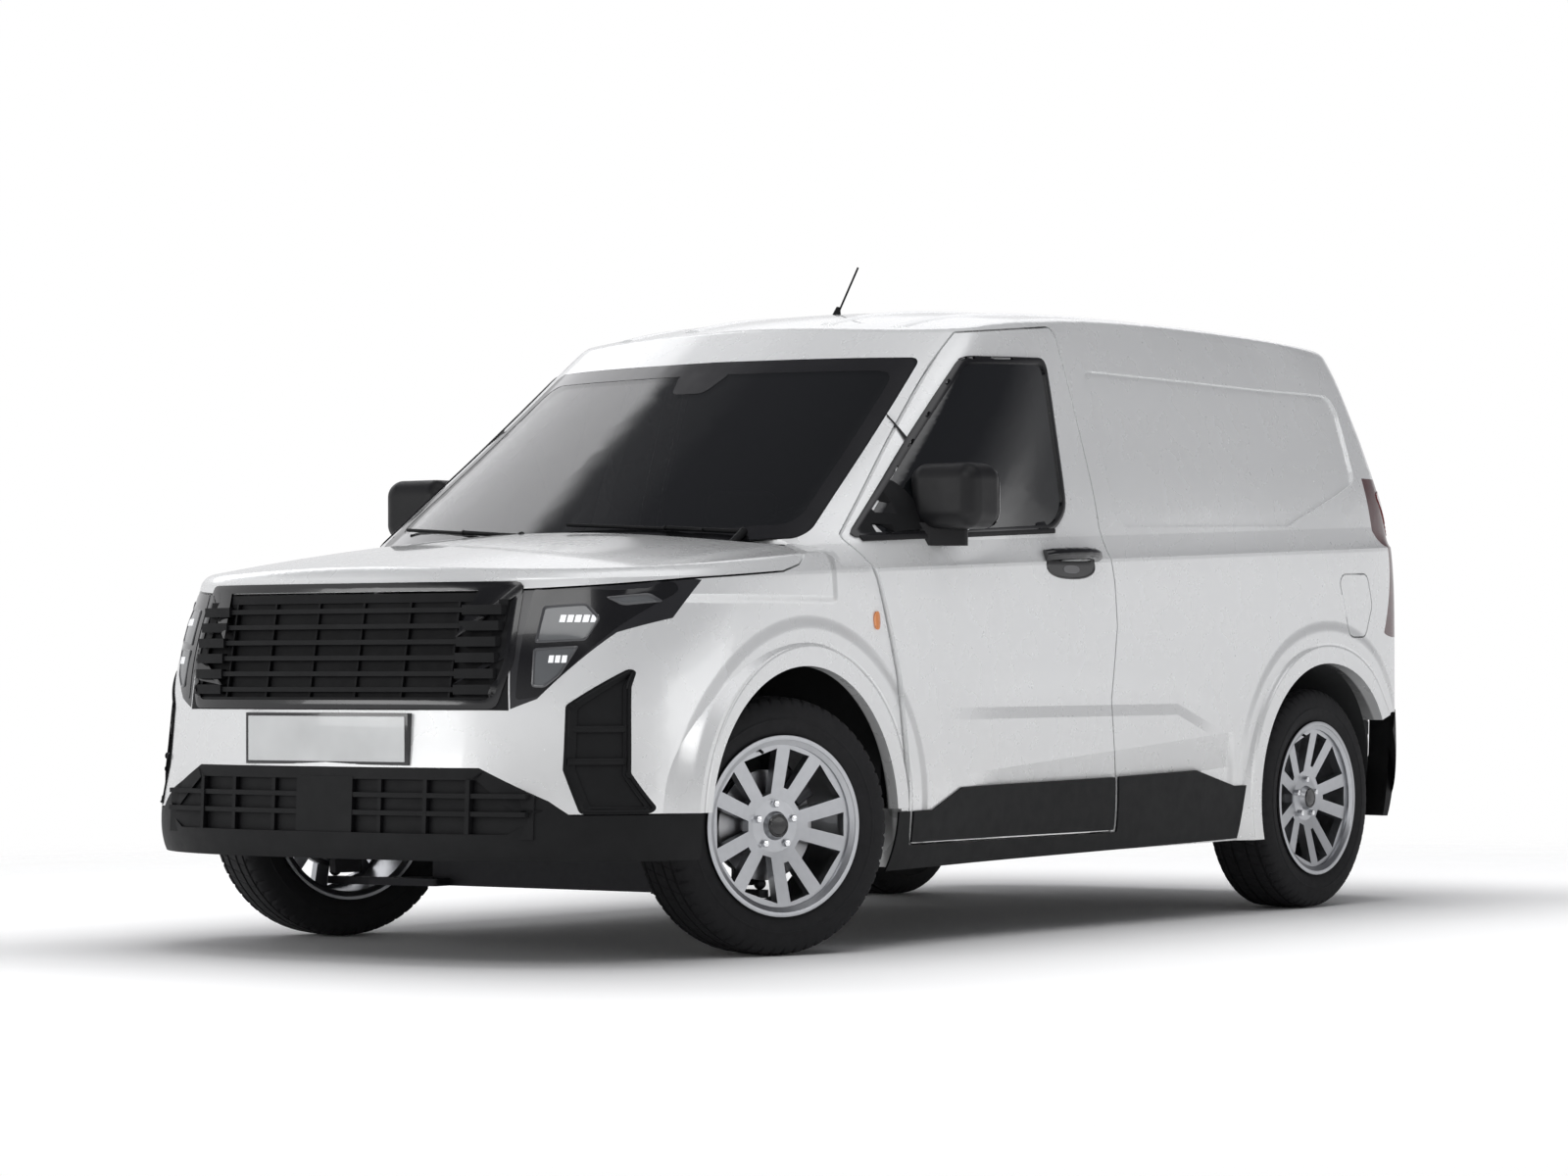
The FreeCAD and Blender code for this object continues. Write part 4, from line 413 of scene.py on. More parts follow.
NODE_MATERIALS = {
    UNDERBODY: ("floor_pan",),
    PAINT: ("roof_panel", "front_bumper", "sliding_door", "bonnet", "fuel_flap",
            *both("body_side", "wing", "door", "rear_door")),
    TRIM: ("cowl_panel", "lower_intake", "upper_grille", "rear_bumper", "side_cladding", "wipers", "antenna",
           *both("door_cladding")),
    MIRROR_CASE: both("mirror"),
    GLASS: ("windscreen",),
    SIDE_GLASS: both("door_glass"),
    LAMP_MASK: ("headlamps",),
    TAIL_CASE: ("tail_lamps",),
    CABIN: ("dashboard", "steering_wheel", "bulkhead"),
    CLOTH: ("seats",),
    STEEL: ("engine_block", "front_subframe", "rear_axle", "fuel_tank", *both("knuckle")),
    PIPE: ("exhaust",),
    RUBBER: tuple("tyre_" + mark for mark in WHEEL_MARKS),
    ALLOY: tuple("rim_" + mark for mark in WHEEL_MARKS),
}
for material, names in NODE_MATERIALS.items():
    for name in names:
        mesh = nodes[name].data
        mesh.materials.clear()
        mesh.materials.append(material)
        mesh.shade_smooth()
        mesh.set_sharp_from_angle(angle=math.radians(40 if name.startswith("rim_") else 32))
        even = nodes[name].modifiers.new("even_normals", "WEIGHTED_NORMAL")
        even.keep_sharp = True


# Shape helpers

def in_scene(name, data):
    """New object in the scene."""
    thing = bpy.data.objects.new(name, data)
    bpy.context.scene.collection.objects.link(thing)
    return thing


def plain_object(name, verts, faces):
    """New mesh object and its mesh."""
    mesh = bpy.data.meshes.new(name)
    mesh.from_pydata([tuple(v) for v in verts], [], faces)
    return in_scene(name, mesh), mesh


def add_piece(name, verts, faces, material, body="body", smooth_deg=30, slot=None):
    """Mesh object that rides a CAD body."""
    piece, mesh = plain_object(name, verts, faces)
    mesh.validate()
    worker = bmesh.new()
    worker.from_mesh(mesh)
    bmesh.ops.recalc_face_normals(worker, faces=worker.faces)
    worker.to_mesh(mesh)
    worker.free()
    mesh.materials.append(material)
    mesh.shade_smooth()
    mesh.set_sharp_from_angle(angle=math.radians(smooth_deg))
    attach(piece, body)
    return piece


def merged(*shapes):
    """Several (verts, faces) shapes as one."""
    verts, faces = [], []
    for shape_verts, shape_faces in shapes:
        base = len(verts)
        verts.extend(shape_verts)
        faces.extend(tuple(base + i for i in face) for face in shape_faces)
    return verts, faces


def moved(shape, matrix):
    """A shape's points carried by a matrix."""
    verts, faces = shape
    return [matrix @ Vector(v) for v in verts], faces


def mirrored_shape(shape):
    """A shape's mirror image across the middle plane."""
    verts, faces = shape
    return [Vector((-v[0], v[1], v[2])) for v in verts], [tuple(reversed(face)) for face in faces]


def harvest(worker):
    """Points and faces of a bmesh, which is then freed."""
    worker.verts.index_update()
    verts = [vert.co.copy() for vert in worker.verts]
    faces = [tuple(vert.index for vert in face.verts) for face in worker.faces]
    worker.free()
    return verts, faces


def box_shape(low, high, bevel):
    """Box between two corners, its edges rounded by a bevel."""
    low, high = Vector(low), Vector(high)
    worker = bmesh.new()
    bmesh.ops.create_cube(worker, size=1.0)
    for vert in worker.verts:
        vert.co = Vector(low[i] + (vert.co[i] + 0.5) * (high[i] - low[i]) for i in range(3))
    bmesh.ops.bevel(worker, geom=worker.edges[:], offset=bevel, segments=3, profile=0.5, affect="EDGES")
    return harvest(worker)


def joined(rings, around, along):
    """Rings of points joined by faces; around closes each ring, along joins the last ring to the first."""
    count = len(rings[0])
    faces = []
    for place in range(len(rings) if along else len(rings) - 1):
        here, there = place * count, (place + 1) % len(rings) * count
        for i in range(count if around else count - 1):
            j = (i + 1) % count
            faces.append((here + i, here + j, there + j, there + i))
    return [point for ring in rings for point in ring], faces


def turned_shape(profile, segments=64, closed=False):
    """Profile of (x, radius) points turned about the X axis."""
    turns = [math.tau * step / segments for step in range(segments)]
    return joined([[Vector((x, radius * math.cos(turn), radius * math.sin(turn))) for x, radius in profile]
                   for turn in turns], closed, True)


def cylinder_shape(start, end, radius, segments, chamfer):
    """Solid rod between two points with chamfered rims."""
    start, end = Vector(start), Vector(end)
    length = (end - start).length
    profile = [(0, 0), (0, radius - chamfer), (chamfer, radius), (length - chamfer, radius),
               (length, radius - chamfer), (length, 0)]
    turn = (end - start).to_track_quat("X", "Z").to_matrix().to_4x4()
    return moved(turned_shape(profile, segments), Matrix.Translation(start) @ turn)


def tube_shape(points, radius, segments, flat):
    """Flattened bar along a smooth path, its ends closed."""
    rings = []
    for i, point in enumerate(points):
        ahead = (points[min(i + 1, len(points) - 1)] - points[max(i - 1, 0)]).normalized()
        side = ahead.cross(Vector((0, 0, 1))).normalized()
        top = side.cross(ahead)
        turns = [math.tau * step / segments for step in range(segments)]
        rings.append([point + side * radius * math.cos(t) + top * radius * flat * math.sin(t) for t in turns])
    verts, faces = joined(rings, True, False)
    ends = range(segments), range(len(verts) - segments, len(verts))
    return verts, faces + [tuple(end) for end in ends]


def flat_points(points):
    return [Vector(p) for p in points]


def straight_path(points, spacing):
    """Straight runs through the points, cut to steps of about one spacing."""
    points = flat_points(points)
    path = []
    for start, end in zip(points, points[1:]):
        steps = max(1, round((end - start).length / spacing))
        path.extend(start.lerp(end, step / steps) for step in range(steps))
    path.append(points[-1])
    return path


def rounded_outline(points, radius, steps=5):
    """Flat outline with each corner replaced by an arc-like curve."""
    points = flat_points(points)
    count = len(points)
    path = []
    for i, corner in enumerate(points):
        before, after = points[i - 1], points[(i + 1) % count]
        reach = min(radius, (before - corner).length * 0.45, (after - corner).length * 0.45)
        start = corner + (before - corner).normalized() * reach
        end = corner + (after - corner).normalized() * reach
        for step in range(steps + 1):
            t = step / steps
            path.append(start * (1 - t) ** 2 + corner * 2 * t * (1 - t) + end * t ** 2)
    return path


def grown(outline, amount):
    """Flat outline pushed outward by an amount, or inward when it is negative."""
    points = flat_points(outline)
    count = len(points)
    area = sum(points[i].x * points[(i + 1) % count].y - points[(i + 1) % count].x * points[i].y
               for i in range(count))
    turn = 1 if area > 0 else -1
    pushed = []
    for i, point in enumerate(points):
        before = (point - points[i - 1]).normalized()
        after = (points[(i + 1) % count] - point).normalized()
        normal = Vector((before.y + after.y, -before.x - after.x)) * turn
        normal.normalize()
        bend = max(0.5, normal.dot(Vector((before.y, -before.x)) * turn))
        pushed.append(point + normal * amount / bend)
    return pushed


def resampled(loop, count):
    """Loop resampled to a count of even steps."""
    points = flat_points(loop)
    ring = points + [points[0]]
    lengths = [0.0]
    for a, b in zip(ring, ring[1:]):
        lengths.append(lengths[-1] + (b - a).length)
    even = []
    place = 0
    for k in range(count):
        want = lengths[-1] * k / count
        while lengths[place + 1] < want:
            place += 1
        span = lengths[place + 1] - lengths[place] or 1.0
        even.append(ring[place].lerp(ring[place + 1], (want - lengths[place]) / span))
    return even


def surface_of(*names):
    """Search tree over the faces of some CAD nodes."""
    shapes = []
    for name in names:
        mesh = nodes[name].data
        shapes.append(([vert.co.copy() for vert in mesh.vertices],
                       [tuple(face.vertices) for face in mesh.polygons]))
    return BVHTree.FromPolygons(*merged(*shapes))


FAR_OFF = 3.0
VERY_FAR = 6.0
SKIN_LIFT = 0.0003


def hit(tree, origin, direction):
    """First place and outward normal met by a ray, or else the nearest."""
    origin, direction = Vector(origin), Vector(direction)
    place, normal, _, _ = tree.ray_cast(origin, direction)
    if place is None:
        place, normal, _, _ = tree.find_nearest(origin + direction * FAR_OFF)
    return place, -normal if normal.dot(direction) > 0 else normal


def from_side(tree, sign):
    """Projector for flat points (y, z) onto a flank."""
    return lambda p: hit(tree, (sign * FAR_OFF, p[0], p[1]), (-sign, 0, 0))


def from_front(*names, side=-1):
    """Projector for flat points (x, z) onto the front of some nodes, or onto their rear for side 1."""
    tree = surface_of(*names)
    return lambda p: hit(tree, (p[0], side * VERY_FAR, p[1]), (0, -side, 0))


def from_rear(*names):
    return from_front(*names, side=1)


def from_top(*names):
    """Projector for flat points (x, y) onto what is seen from above."""
    tree = surface_of(*names)
    return lambda p: hit(tree, (p[0], p[1], VERY_FAR), (0, 0, -1))


def slab(grid, closed):
    """Thin solid from rows of (low, high) point pairs; closed rows join their last pair to their first."""
    wide = len(grid[0])
    verts = [point for row in grid for pair in row for point in pair]
    faces = []
    spans = [(i, (i + 1) % wide) for i in range(wide if closed else wide - 1)]
    for row in range(len(grid) - 1):
        for i, j in spans:
            low_a, low_b = 2 * (row * wide + i), 2 * (row * wide + j)
            up_a, up_b = low_a + 2 * wide, low_b + 2 * wide
            faces.append((low_a, low_b, up_b, up_a))
            faces.append((low_a + 1, up_a + 1, up_b + 1, low_b + 1))
        for i in () if closed else (0, wide - 1):
            a, b = 2 * (row * wide + i), 2 * ((row + 1) * wide + i)
            faces.append((a, b, b + 1, a + 1))
    for row in (0, len(grid) - 1):
        for i, j in spans:
            a, b = 2 * (row * wide + i), 2 * (row * wide + j)
            faces.append((a, a + 1, b + 1, b))
    return verts, faces


def pair_at(project, point, lift, thick):
    """Lower and upper point of a thin wall laid on a surface."""
    place, normal = project(point)
    return place + normal * lift, place + normal * (lift + thick)


def strip_between(project, outer, inner, rows, lift, thick, crown=0.0):
    """Closed band between two flat loops of equal count, laid on a surface, as a thin solid.
    lift is the height of its under side, thick its wall, crown the extra height half-way across."""
    grid = []
    for row in range(rows + 1):
        share = row / rows
        wall = thick + crown * math.sin(math.pi * share)
        grid.append([pair_at(project, a.lerp(b, share), lift, wall) for a, b in zip(outer, inner)])
    return slab(grid, True)


def line_strip(project, path, width, lift, thick, crown, across=4):
    """Open band of even width along a flat path, laid on a surface as a thin solid."""
    count = len(path)
    grid = []
    for i, point in enumerate(path):
        ahead = (path[min(i + 1, count - 1)] - path[max(i - 1, 0)]).normalized()
        side = Vector((-ahead.y, ahead.x)) * width
        shares = [k / across for k in range(across + 1)]
        grid.append([pair_at(project, point + side * (share - 0.5), lift,
                             thick + crown * math.sin(math.pi * share)) for share in shares])
    return slab(grid, False)


def patch_shape(project, outline, lift, thick, spacing=0.02, height=None):
    """Filled flat outline laid on a surface as a thin solid; height(p) adds to its upper face."""
    flat = bmesh.new()
    flat.faces.new([flat.verts.new((p[0], p[1], 0)) for p in outline])
    for axis in (0, 1):
        low, high = min(p[axis] for p in outline), max(p[axis] for p in outline)
        steps = max(1, int((high - low) / spacing))
        for step in range(1, steps):
            place, normal = Vector((0, 0, 0)), Vector((0, 0, 0))
            place[axis] = low + (high - low) * step / steps
            normal[axis] = 1
            bmesh.ops.bisect_plane(flat, geom=flat.verts[:] + flat.edges[:] + flat.faces[:],
                                   plane_co=place, plane_no=normal)
    flat_verts, flat_faces = harvest(flat)
    count = len(flat_verts)
    pairs = [pair_at(project, p.xy, lift, thick + (height(p.xy) if height else 0.0)) for p in flat_verts]
    faces = [tuple(reversed(face)) for face in flat_faces]
    faces += [tuple(i + count for i in face) for face in flat_faces]
    used = {edge for face in flat_faces for edge in zip(face, face[1:] + face[:1])}
    faces += [(a, b, b + count, a + count) for a, b in sorted(used) if (b, a) not in used]
    return [low for low, high in pairs] + [high for low, high in pairs], faces


# Wheels and tyres

RIM_EDGE_R = 0.231
TREAD_PITCHES = 60
TREAD_GROOVE = 0.0065
SHOULDER_GROOVE = 0.0050
SIPE_DEPTH = 0.0022
GROOVES_X = (-0.062, -0.024, 0.024, 0.062)
GROOVE_HALF = 0.0052
CARCASS = (
    (0.0800, 0.2215), (0.0870, 0.2240), (0.0930, 0.2330), (0.0955, 0.2360), (0.0975, 0.2400),
    (0.1010, 0.2500), (0.1040, 0.2620), (0.1048, 0.2700), (0.1062, 0.2715), (0.1062, 0.2750),
    (0.1050, 0.2765), (0.1042, 0.2880), (0.1024, 0.2990), (0.0998, 0.3080), (0.0968, 0.3150),
    (0.0930, 0.3208), (0.0880, 0.3252), (0.0820, 0.3282), (0.0740, 0.3300),
)
SHOULDER_FROM_X = 0.0700
SHOULDER_TO_R = 0.3080
PITCH_SHARES = (0.0, 0.05, 0.50, 0.55, 0.60, 0.78, 0.82, 0.96)
SIPE_STEP = 3
CUT_STEPS = (5, 6)
BOLT_CIRCLE_R = 0.0560
BOLT_TURNS = [math.tau * (k / 5 + 1 / 4) for k in range(5)]
NUT_RADIUS = 0.0105
NUT_PROFILE = ((-0.012, 0), (-0.012, 1), (0.007, 1), (0.010, 0.8), (0.011, 0))
CAP_PROFILE = ((-0.004, 0), (-0.004, 0.030), (0.0015, 0.030), (0.004, 0.0275), (0.004, 0.024),
               (0.0028, 0.022), (0.0040, 0.010), (0.0042, 0))
LIP_PROFILE = ((0.0985, -0.012), (0.1030, -0.010), (0.1042, -0.004), (0.1030, 0.0015), (0.0985, 0.001))
DISC_RADIUS = 0.1420
DISC_X = 0.0150
DISC_PROFILE = ((0, 0.050), (0, 0.142), (-0.008, 0.142), (-0.008, 0.132), (-0.014, 0.132), (-0.014, 0.142),
                (-0.022, 0.142), (-0.022, 0.050))
BELL_PROFILE = ((0, 0), (0.030, 0), (0.030, 0.062), (0.024, 0.070), (-0.006, 0.074), (-0.022, 0.074))
VALVE_TURN_DEG = 18
VALVE_RADIUS = 0.004
CALIPER_LEAN = 0.9


def wheel_matrix(mark):
    """Wheel axes from its tyre: centre of the box of its points, X outward along its spin axis."""
    points = [vert.co for vert in nodes["tyre_" + mark].data.vertices]
    side = 1 if mark.endswith("l") else -1
    spin = next(j for j in frame["joints"] if j["child"] == "wheel_" + mark and j["type"] != "fixed")
    axis = Vector(spin["axis"]).normalized()
    if axis.x * side < 0:
        axis = -axis
    upward = (Vector((0, 0, 1)) - axis * axis.z).normalized()
    ahead = upward.cross(axis)
    centre = Vector()
    for way in (axis, ahead, upward):
        reach = [point.dot(way) for point in points]
        centre += way * (max(reach) + min(reach)) / 2
    return Matrix.Translation(centre) @ Matrix((axis, ahead, upward)).transposed().to_4x4()


def crown_radius(x):
    """Radius of the tread across the tyre."""
    return TYRE_RADIUS - 0.0006 - 0.0024 * (abs(x) / 0.074) ** 2.4


def tyre_profile():
    """(x, radius) points across the tyre, from the inner bead to the outer one."""
    tread = [(0.0, crown_radius(0.0))]
    for groove in GROOVES_X:
        for share, deep in ((-1, 0), (-0.7, 1), (0.7, 1), (1, 0)):
            x = groove + GROOVE_HALF * share
            tread.append((x, crown_radius(x) - TREAD_GROOVE * deep))
    return [(-x, radius) for x, radius in CARCASS] + sorted(tread) + list(CARCASS[::-1])


def tyre_shape():
    """Tyre with grooves round it, cut shoulder blocks and thin sipes in its ribs."""
    profile = tyre_profile()
    rings = []
    turns = [(math.tau * (pitch + share) / TREAD_PITCHES, k)
             for pitch in range(TREAD_PITCHES) for k, share in enumerate(PITCH_SHARES)]
    for turn, k in turns:
        ring = []
        for x, radius in profile:
            outside = abs(x) > SHOULDER_FROM_X
            cut = 0.0
            if outside and radius > SHOULDER_TO_R and k in CUT_STEPS:
                cut = SHOULDER_GROOVE * min(1.0, (radius - SHOULDER_TO_R) / 0.012)
            if not outside and radius > TYRE_RADIUS - 0.004 and k == SIPE_STEP:
                cut = SIPE_DEPTH
            swing = turn + x * (0.35 if outside else 0.9)
            ring.append(Vector((x, (radius - cut) * math.cos(swing), (radius - cut) * math.sin(swing))))
        rings.append(ring)
    return joined(rings, True, True)


def shifted(profile, x, radius=0.0, share=1.0):
    """Profile carried along the axis and outward, its radii scaled by a share."""
    return [(x + along, radius + share * out) for along, out in profile]


def nut_shape(x, turn):
    """Hexagonal wheel nut with a domed end."""
    place = Vector((0, BOLT_CIRCLE_R * math.cos(turn), BOLT_CIRCLE_R * math.sin(turn)))
    return moved(turned_shape(shifted(NUT_PROFILE, x, 0.0, NUT_RADIUS), 6), Matrix.Translation(place))


def face_depth(tree, place, y, z):
    """How far out the rim's face stands at a point of the wheel's plane."""
    found, _, _, _ = tree.ray_cast(place @ Vector((0.3, y, z)), place.to_3x3() @ Vector((-1, 0, 0)))
    return 0.0 if found is None else (place.inverted() @ found).x


def make_wheel(mark):
    """Treaded tyre, nuts, cap, rim lip, valve, brake disc and, in front, the caliper of one wheel."""
    place = wheel_matrix(mark)
    body = "wheel_" + mark
    rim = surface_of("rim_" + mark)

    def add(label, shape, material, smooth_deg=30, slot=None):
        return add_piece(label + mark, *moved(shape, place), material, body, smooth_deg, slot)

    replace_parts(add("tyre_tread_", tyre_shape(), RUBBER, 28, "tyre"), "tyre_" + mark)
    hub_x = face_depth(rim, place, 0, 0)
    nut_x = min(face_depth(rim, place, BOLT_CIRCLE_R * math.cos(turn), BOLT_CIRCLE_R * math.sin(turn))
                for turn in BOLT_TURNS)
    add("wheel_nuts_", merged(*[nut_shape(nut_x, turn) for turn in BOLT_TURNS]), CHROME)
    add("wheel_cap_", turned_shape(shifted(CAP_PROFILE, hub_x), 48), GLOSS)
    add("rim_lip_", turned_shape(shifted(LIP_PROFILE, 0.0, RIM_EDGE_R), 120, True), ALLOY, 40, "alloy")
    turned = Matrix.Rotation(math.radians(VALVE_TURN_DEG), 4, "X")
    valve = cylinder_shape((0.080, 0, RIM_EDGE_R - 0.022), (0.098, 0, RIM_EDGE_R - 0.034),
                           VALVE_RADIUS, 12, 0.001)
    add("valve_", moved(valve, turned), SEAL, 35)
    disc = turned_shape(shifted(DISC_PROFILE, DISC_X), 96, True)
    bell = turned_shape(shifted(BELL_PROFILE, DISC_X), 64)
    add("brake_disc_", merged(disc, bell), DISC_STEEL)
    front = mark[0] == "f"
    holder = "body" if not front else "knuckle_left" if mark == "fl" else "knuckle_right"
    low = Vector((DISC_X - 0.040, DISC_RADIUS - 0.042, -0.008))
    high = Vector((DISC_X + 0.022, DISC_RADIUS + 0.014, 0.008))
    lean = CALIPER_LEAN if front else -CALIPER_LEAN
    slices = [moved(box_shape(low, high, 0.004), Matrix.Rotation(lean + (k - 4) * 0.085, 4, "X"))
              for k in range(9)]
    if holder in frame["bodies"]:
        add_piece("caliper_" + mark, *moved(merged(*slices), place), STEEL, holder)


for mark in WHEEL_MARKS:
    make_wheel(mark)


# Headlamps, number plate, grille surround and bumper vents

LAMP_HOUSING = ((0.545, 0.935), (0.790, 0.955), (0.800, 0.930), (0.730, 0.845), (0.660, 0.745),
                (0.600, 0.670), (0.548, 0.660))
LAMP_WINDOWS = (
    ((0.575, 0.892), (0.662, 0.900), (0.694, 0.862), (0.678, 0.806), (0.575, 0.800)),
    ((0.575, 0.788), (0.668, 0.794), (0.640, 0.720), (0.610, 0.690), (0.582, 0.692)),
    ((0.690, 0.915), (0.760, 0.925), (0.785, 0.903), (0.725, 0.893)),
)
LED_ROWS = ((0.615, 0.690, 0.852, 0.870, 5), (0.610, 0.650, 0.752, 0.770, 3))
LED_GAP_SHARE = 0.12
on_lamp = from_front("headlamps")


def lamp_pieces():
    """Left headlamp: black inner mask, framed light windows and light bars, as shapes."""
    mask = patch_shape(on_lamp, rounded_outline(LAMP_HOUSING, 0.012), 0.0004, 0.0010)
    frames, panes, bars = [], [], []
    for outline in LAMP_WINDOWS:
        outer = rounded_outline(outline, 0.008, 4)
        inner = rounded_outline(grown(outline, -0.006), 0.006, 4)
        frames.append(strip_between(on_lamp, outer, inner, 2, 0.0012, 0.0022, 0.0012))
        panes.append(patch_shape(on_lamp, inner, 0.0014, 0.0008))
    for x_low, x_high, z_low, z_high, count in LED_ROWS:
        pitch = (x_high - x_low) / count
        for k in range(count):
            left = x_low + pitch * (k + LED_GAP_SHARE)
            right = x_low + pitch * (k + 1 - LED_GAP_SHARE)
            bar = [(left, z_low), (right, z_low), (right, z_high), (left, z_high)]
            bars.append(patch_shape(on_lamp, bar, 0.0023, 0.0010))
    return mask, merged(*frames), merged(*panes), merged(*bars)


for label, shape, material in zip(("mask", "frames", "panes", "leds"), lamp_pieces(),
                                  (GLOSS, LAMP_FRAME, LAMP_PANE, LED)):
    add_piece("lamp_" + label, *merged(shape, mirrored_shape(shape)), material, slot="lamp")

PLATE_HALF = 0.262
PLATE_Z = (0.506, 0.620)
HOLDER_MARGIN = (0.010, 0.008)
on_bumper = from_front("front_bumper")


def plate_shape(half, low, high, stand, thick):
    """Flat plate across the bumper, standing off the middle of its face."""
    middle, _ = on_bumper((0.0, (low + high) / 2))
    edge, _ = on_bumper((half * 0.5, (low + high) / 2))
    y = min(middle.y, edge.y) - stand
    return box_shape((-half, y - thick, low), (half, y, high), 0.0015)


holder = plate_shape(PLATE_HALF + HOLDER_MARGIN[0], PLATE_Z[0] - HOLDER_MARGIN[1],
                     PLATE_Z[1] + HOLDER_MARGIN[1], -0.018, 0.022)
add_piece("plate_holder", *holder, GLOSS)
add_piece("plate_blank", *plate_shape(PLATE_HALF, *PLATE_Z, 0.0042, 0.0015), PLATE)

GRILLE_RING = ((0.512, 0.945), (0.526, 0.760), (0.495, 0.648),
               (-0.495, 0.648), (-0.526, 0.760), (-0.512, 0.945))
VENT = ((0.775, 0.750), (0.656, 0.647), (0.660, 0.488), (0.7015, 0.379), (0.832, 0.378), (0.782, 0.479),
        (0.769, 0.692))
VENT_RIBS = ((0.588, 0.668, 0.762), (0.508, 0.668, 0.772))
VENT_RIM_IN = 0.006
VENT_RIM_WIDTH = 0.012
on_vent = from_front("lower_intake")
on_front = from_front("front_bumper", "bonnet", "headlamps", "upper_grille", "lower_intake", *both("wing"))


def vent_trim():
    """Left bumper vent: a raised rim round the plate and two ribs across it."""
    outer = grown(VENT, -VENT_RIM_IN)
    inner = grown(outer, -VENT_RIM_WIDTH)
    shapes = [strip_between(on_vent, resampled(outer, 120), resampled(inner, 120), 3, -0.001, 0.005, 0.002)]
    for z, inner_x, outer_x in VENT_RIBS:
        path = straight_path([(inner_x, z), (outer_x, z)], 0.008)
        shapes.append(line_strip(on_vent, path, 0.016, -0.001, 0.007, 0.003))
    return merged(*shapes)


vents = vent_trim()
add_piece("vent_trim", *merged(vents, mirrored_shape(vents)), TRIM, "body", 35)
ring_out = resampled(rounded_outline(grown(GRILLE_RING, 0.010), 0.02), 220)
ring_in = resampled(rounded_outline(grown(GRILLE_RING, -0.012), 0.02), 220)
surround = strip_between(on_front, ring_out, ring_in, 5, -0.001, 0.0042, 0.0010)
add_piece("grille_surround", *surround, GLOSS, "body", 40)


# Side windows, mirrors, handles and side trim

SIDE_WINDOW = ((-1.0095, 1.080), (-0.3305, 1.587), (0.0465, 1.600), (-0.0115, 1.175), (-0.0815, 1.119))
SAIL = ((-1.000, 1.082), (-0.790, 1.238), (-0.700, 1.108))
WAIST = ((-0.985, 1.076), (-0.0815, 1.115))
HANDLE_AT = (-0.0305, 1.027)
HANDLE_HALF = (0.134, 0.044)
HANDLE_LOW_SHARE = 0.22
GLINT_LOW_SHARE = 0.45
HANDLE_RIM_SHARES = ((0.92, 0.86), (0.84, 0.72))
HANDLE_DISH_SHARES = (0.86, 0.76)
GLINT_SHARES = (0.30, 0.26)
BAR_SHARES = (0.93, 0.34)
BAR_STEPS = 16
BAR_SAG = 0.004
BAR_CLEAR = (0.006, 0.023)
BAR_RADIUS = 0.0205
BAR_FLAT = 0.80
SLIDE_HANDLE_AT = (0.330, 1.030)
REAR_HANDLE_AT = (0.04, 0.955)
REPEATER_AT = (-0.9935, 0.860)
REPEATER_HALF = (0.014, 0.024)
REPEATER_CROWN = 0.003
MIRROR_ARM = 0.062
MIRROR_MARGIN = 0.014
MIRROR_LIFT = 0.012


def ellipse(centre, half_u, half_v, steps=28, power=2.4):
    """Flat rounded-box loop."""
    loop = []
    for step in range(steps):
        turn = math.tau * step / steps
        c, s = math.cos(turn), math.sin(turn)
        loop.append(Vector((centre[0] + half_u * math.copysign(abs(c) ** (2 / power), c),
                            centre[1] + half_v * math.copysign(abs(s) ** (2 / power), s))))
    return loop


def add_handle(project, centre, prefix, suffix, body):
    """Black oval dish with a raised rim, a paler patch low in it as a painted highlight of the grab cup, and
    a thick bar bowed clear of it.
    """
    half_u, half_v = HANDLE_HALF

    def loop(drop_share, shares):
        middle = (centre[0], centre[1] - half_v * drop_share)
        return ellipse(middle, half_u * shares[0], half_v * shares[1])

    rim = strip_between(project, *[loop(HANDLE_LOW_SHARE, shares) for shares in HANDLE_RIM_SHARES],
                        3, -0.001, 0.0015, 0.0022)
    dish = patch_shape(project, loop(HANDLE_LOW_SHARE, HANDLE_DISH_SHARES), SKIN_LIFT, 0.0006, 0.01)
    # Painted highlight: the glint in the grab cup is this paler patch.
    cup_glint = patch_shape(project, loop(GLINT_LOW_SHARE, GLINT_SHARES), 0.0010, 0.0006, 0.008)
    path = []
    for step in range(BAR_STEPS + 1):
        share = step / BAR_STEPS
        arch = max(0.0, math.sin(math.pi * share))
        point = (centre[0] + half_u * BAR_SHARES[0] * (2 * share - 1),
                 centre[1] + half_v * BAR_SHARES[1] - BAR_SAG * arch)
        path.append(pair_at(project, point, BAR_CLEAR[0] + BAR_CLEAR[1] * arch ** 0.5, 0.0)[0])
    add_piece(prefix + "handle_dish" + suffix, *merged(rim, dish), GLOSS, body)
    add_piece(prefix + "handle_glint" + suffix, *cup_glint, CUP_GLINT_PAINT, body)
    add_piece(prefix + "handle_bar" + suffix, *tube_shape(path, BAR_RADIUS, 20, BAR_FLAT), GLOSS, body, 50)


def repeater_crown(point):
    return REPEATER_CROWN * (1 - ((point.x - REPEATER_AT[0]) / REPEATER_HALF[0]) ** 2)


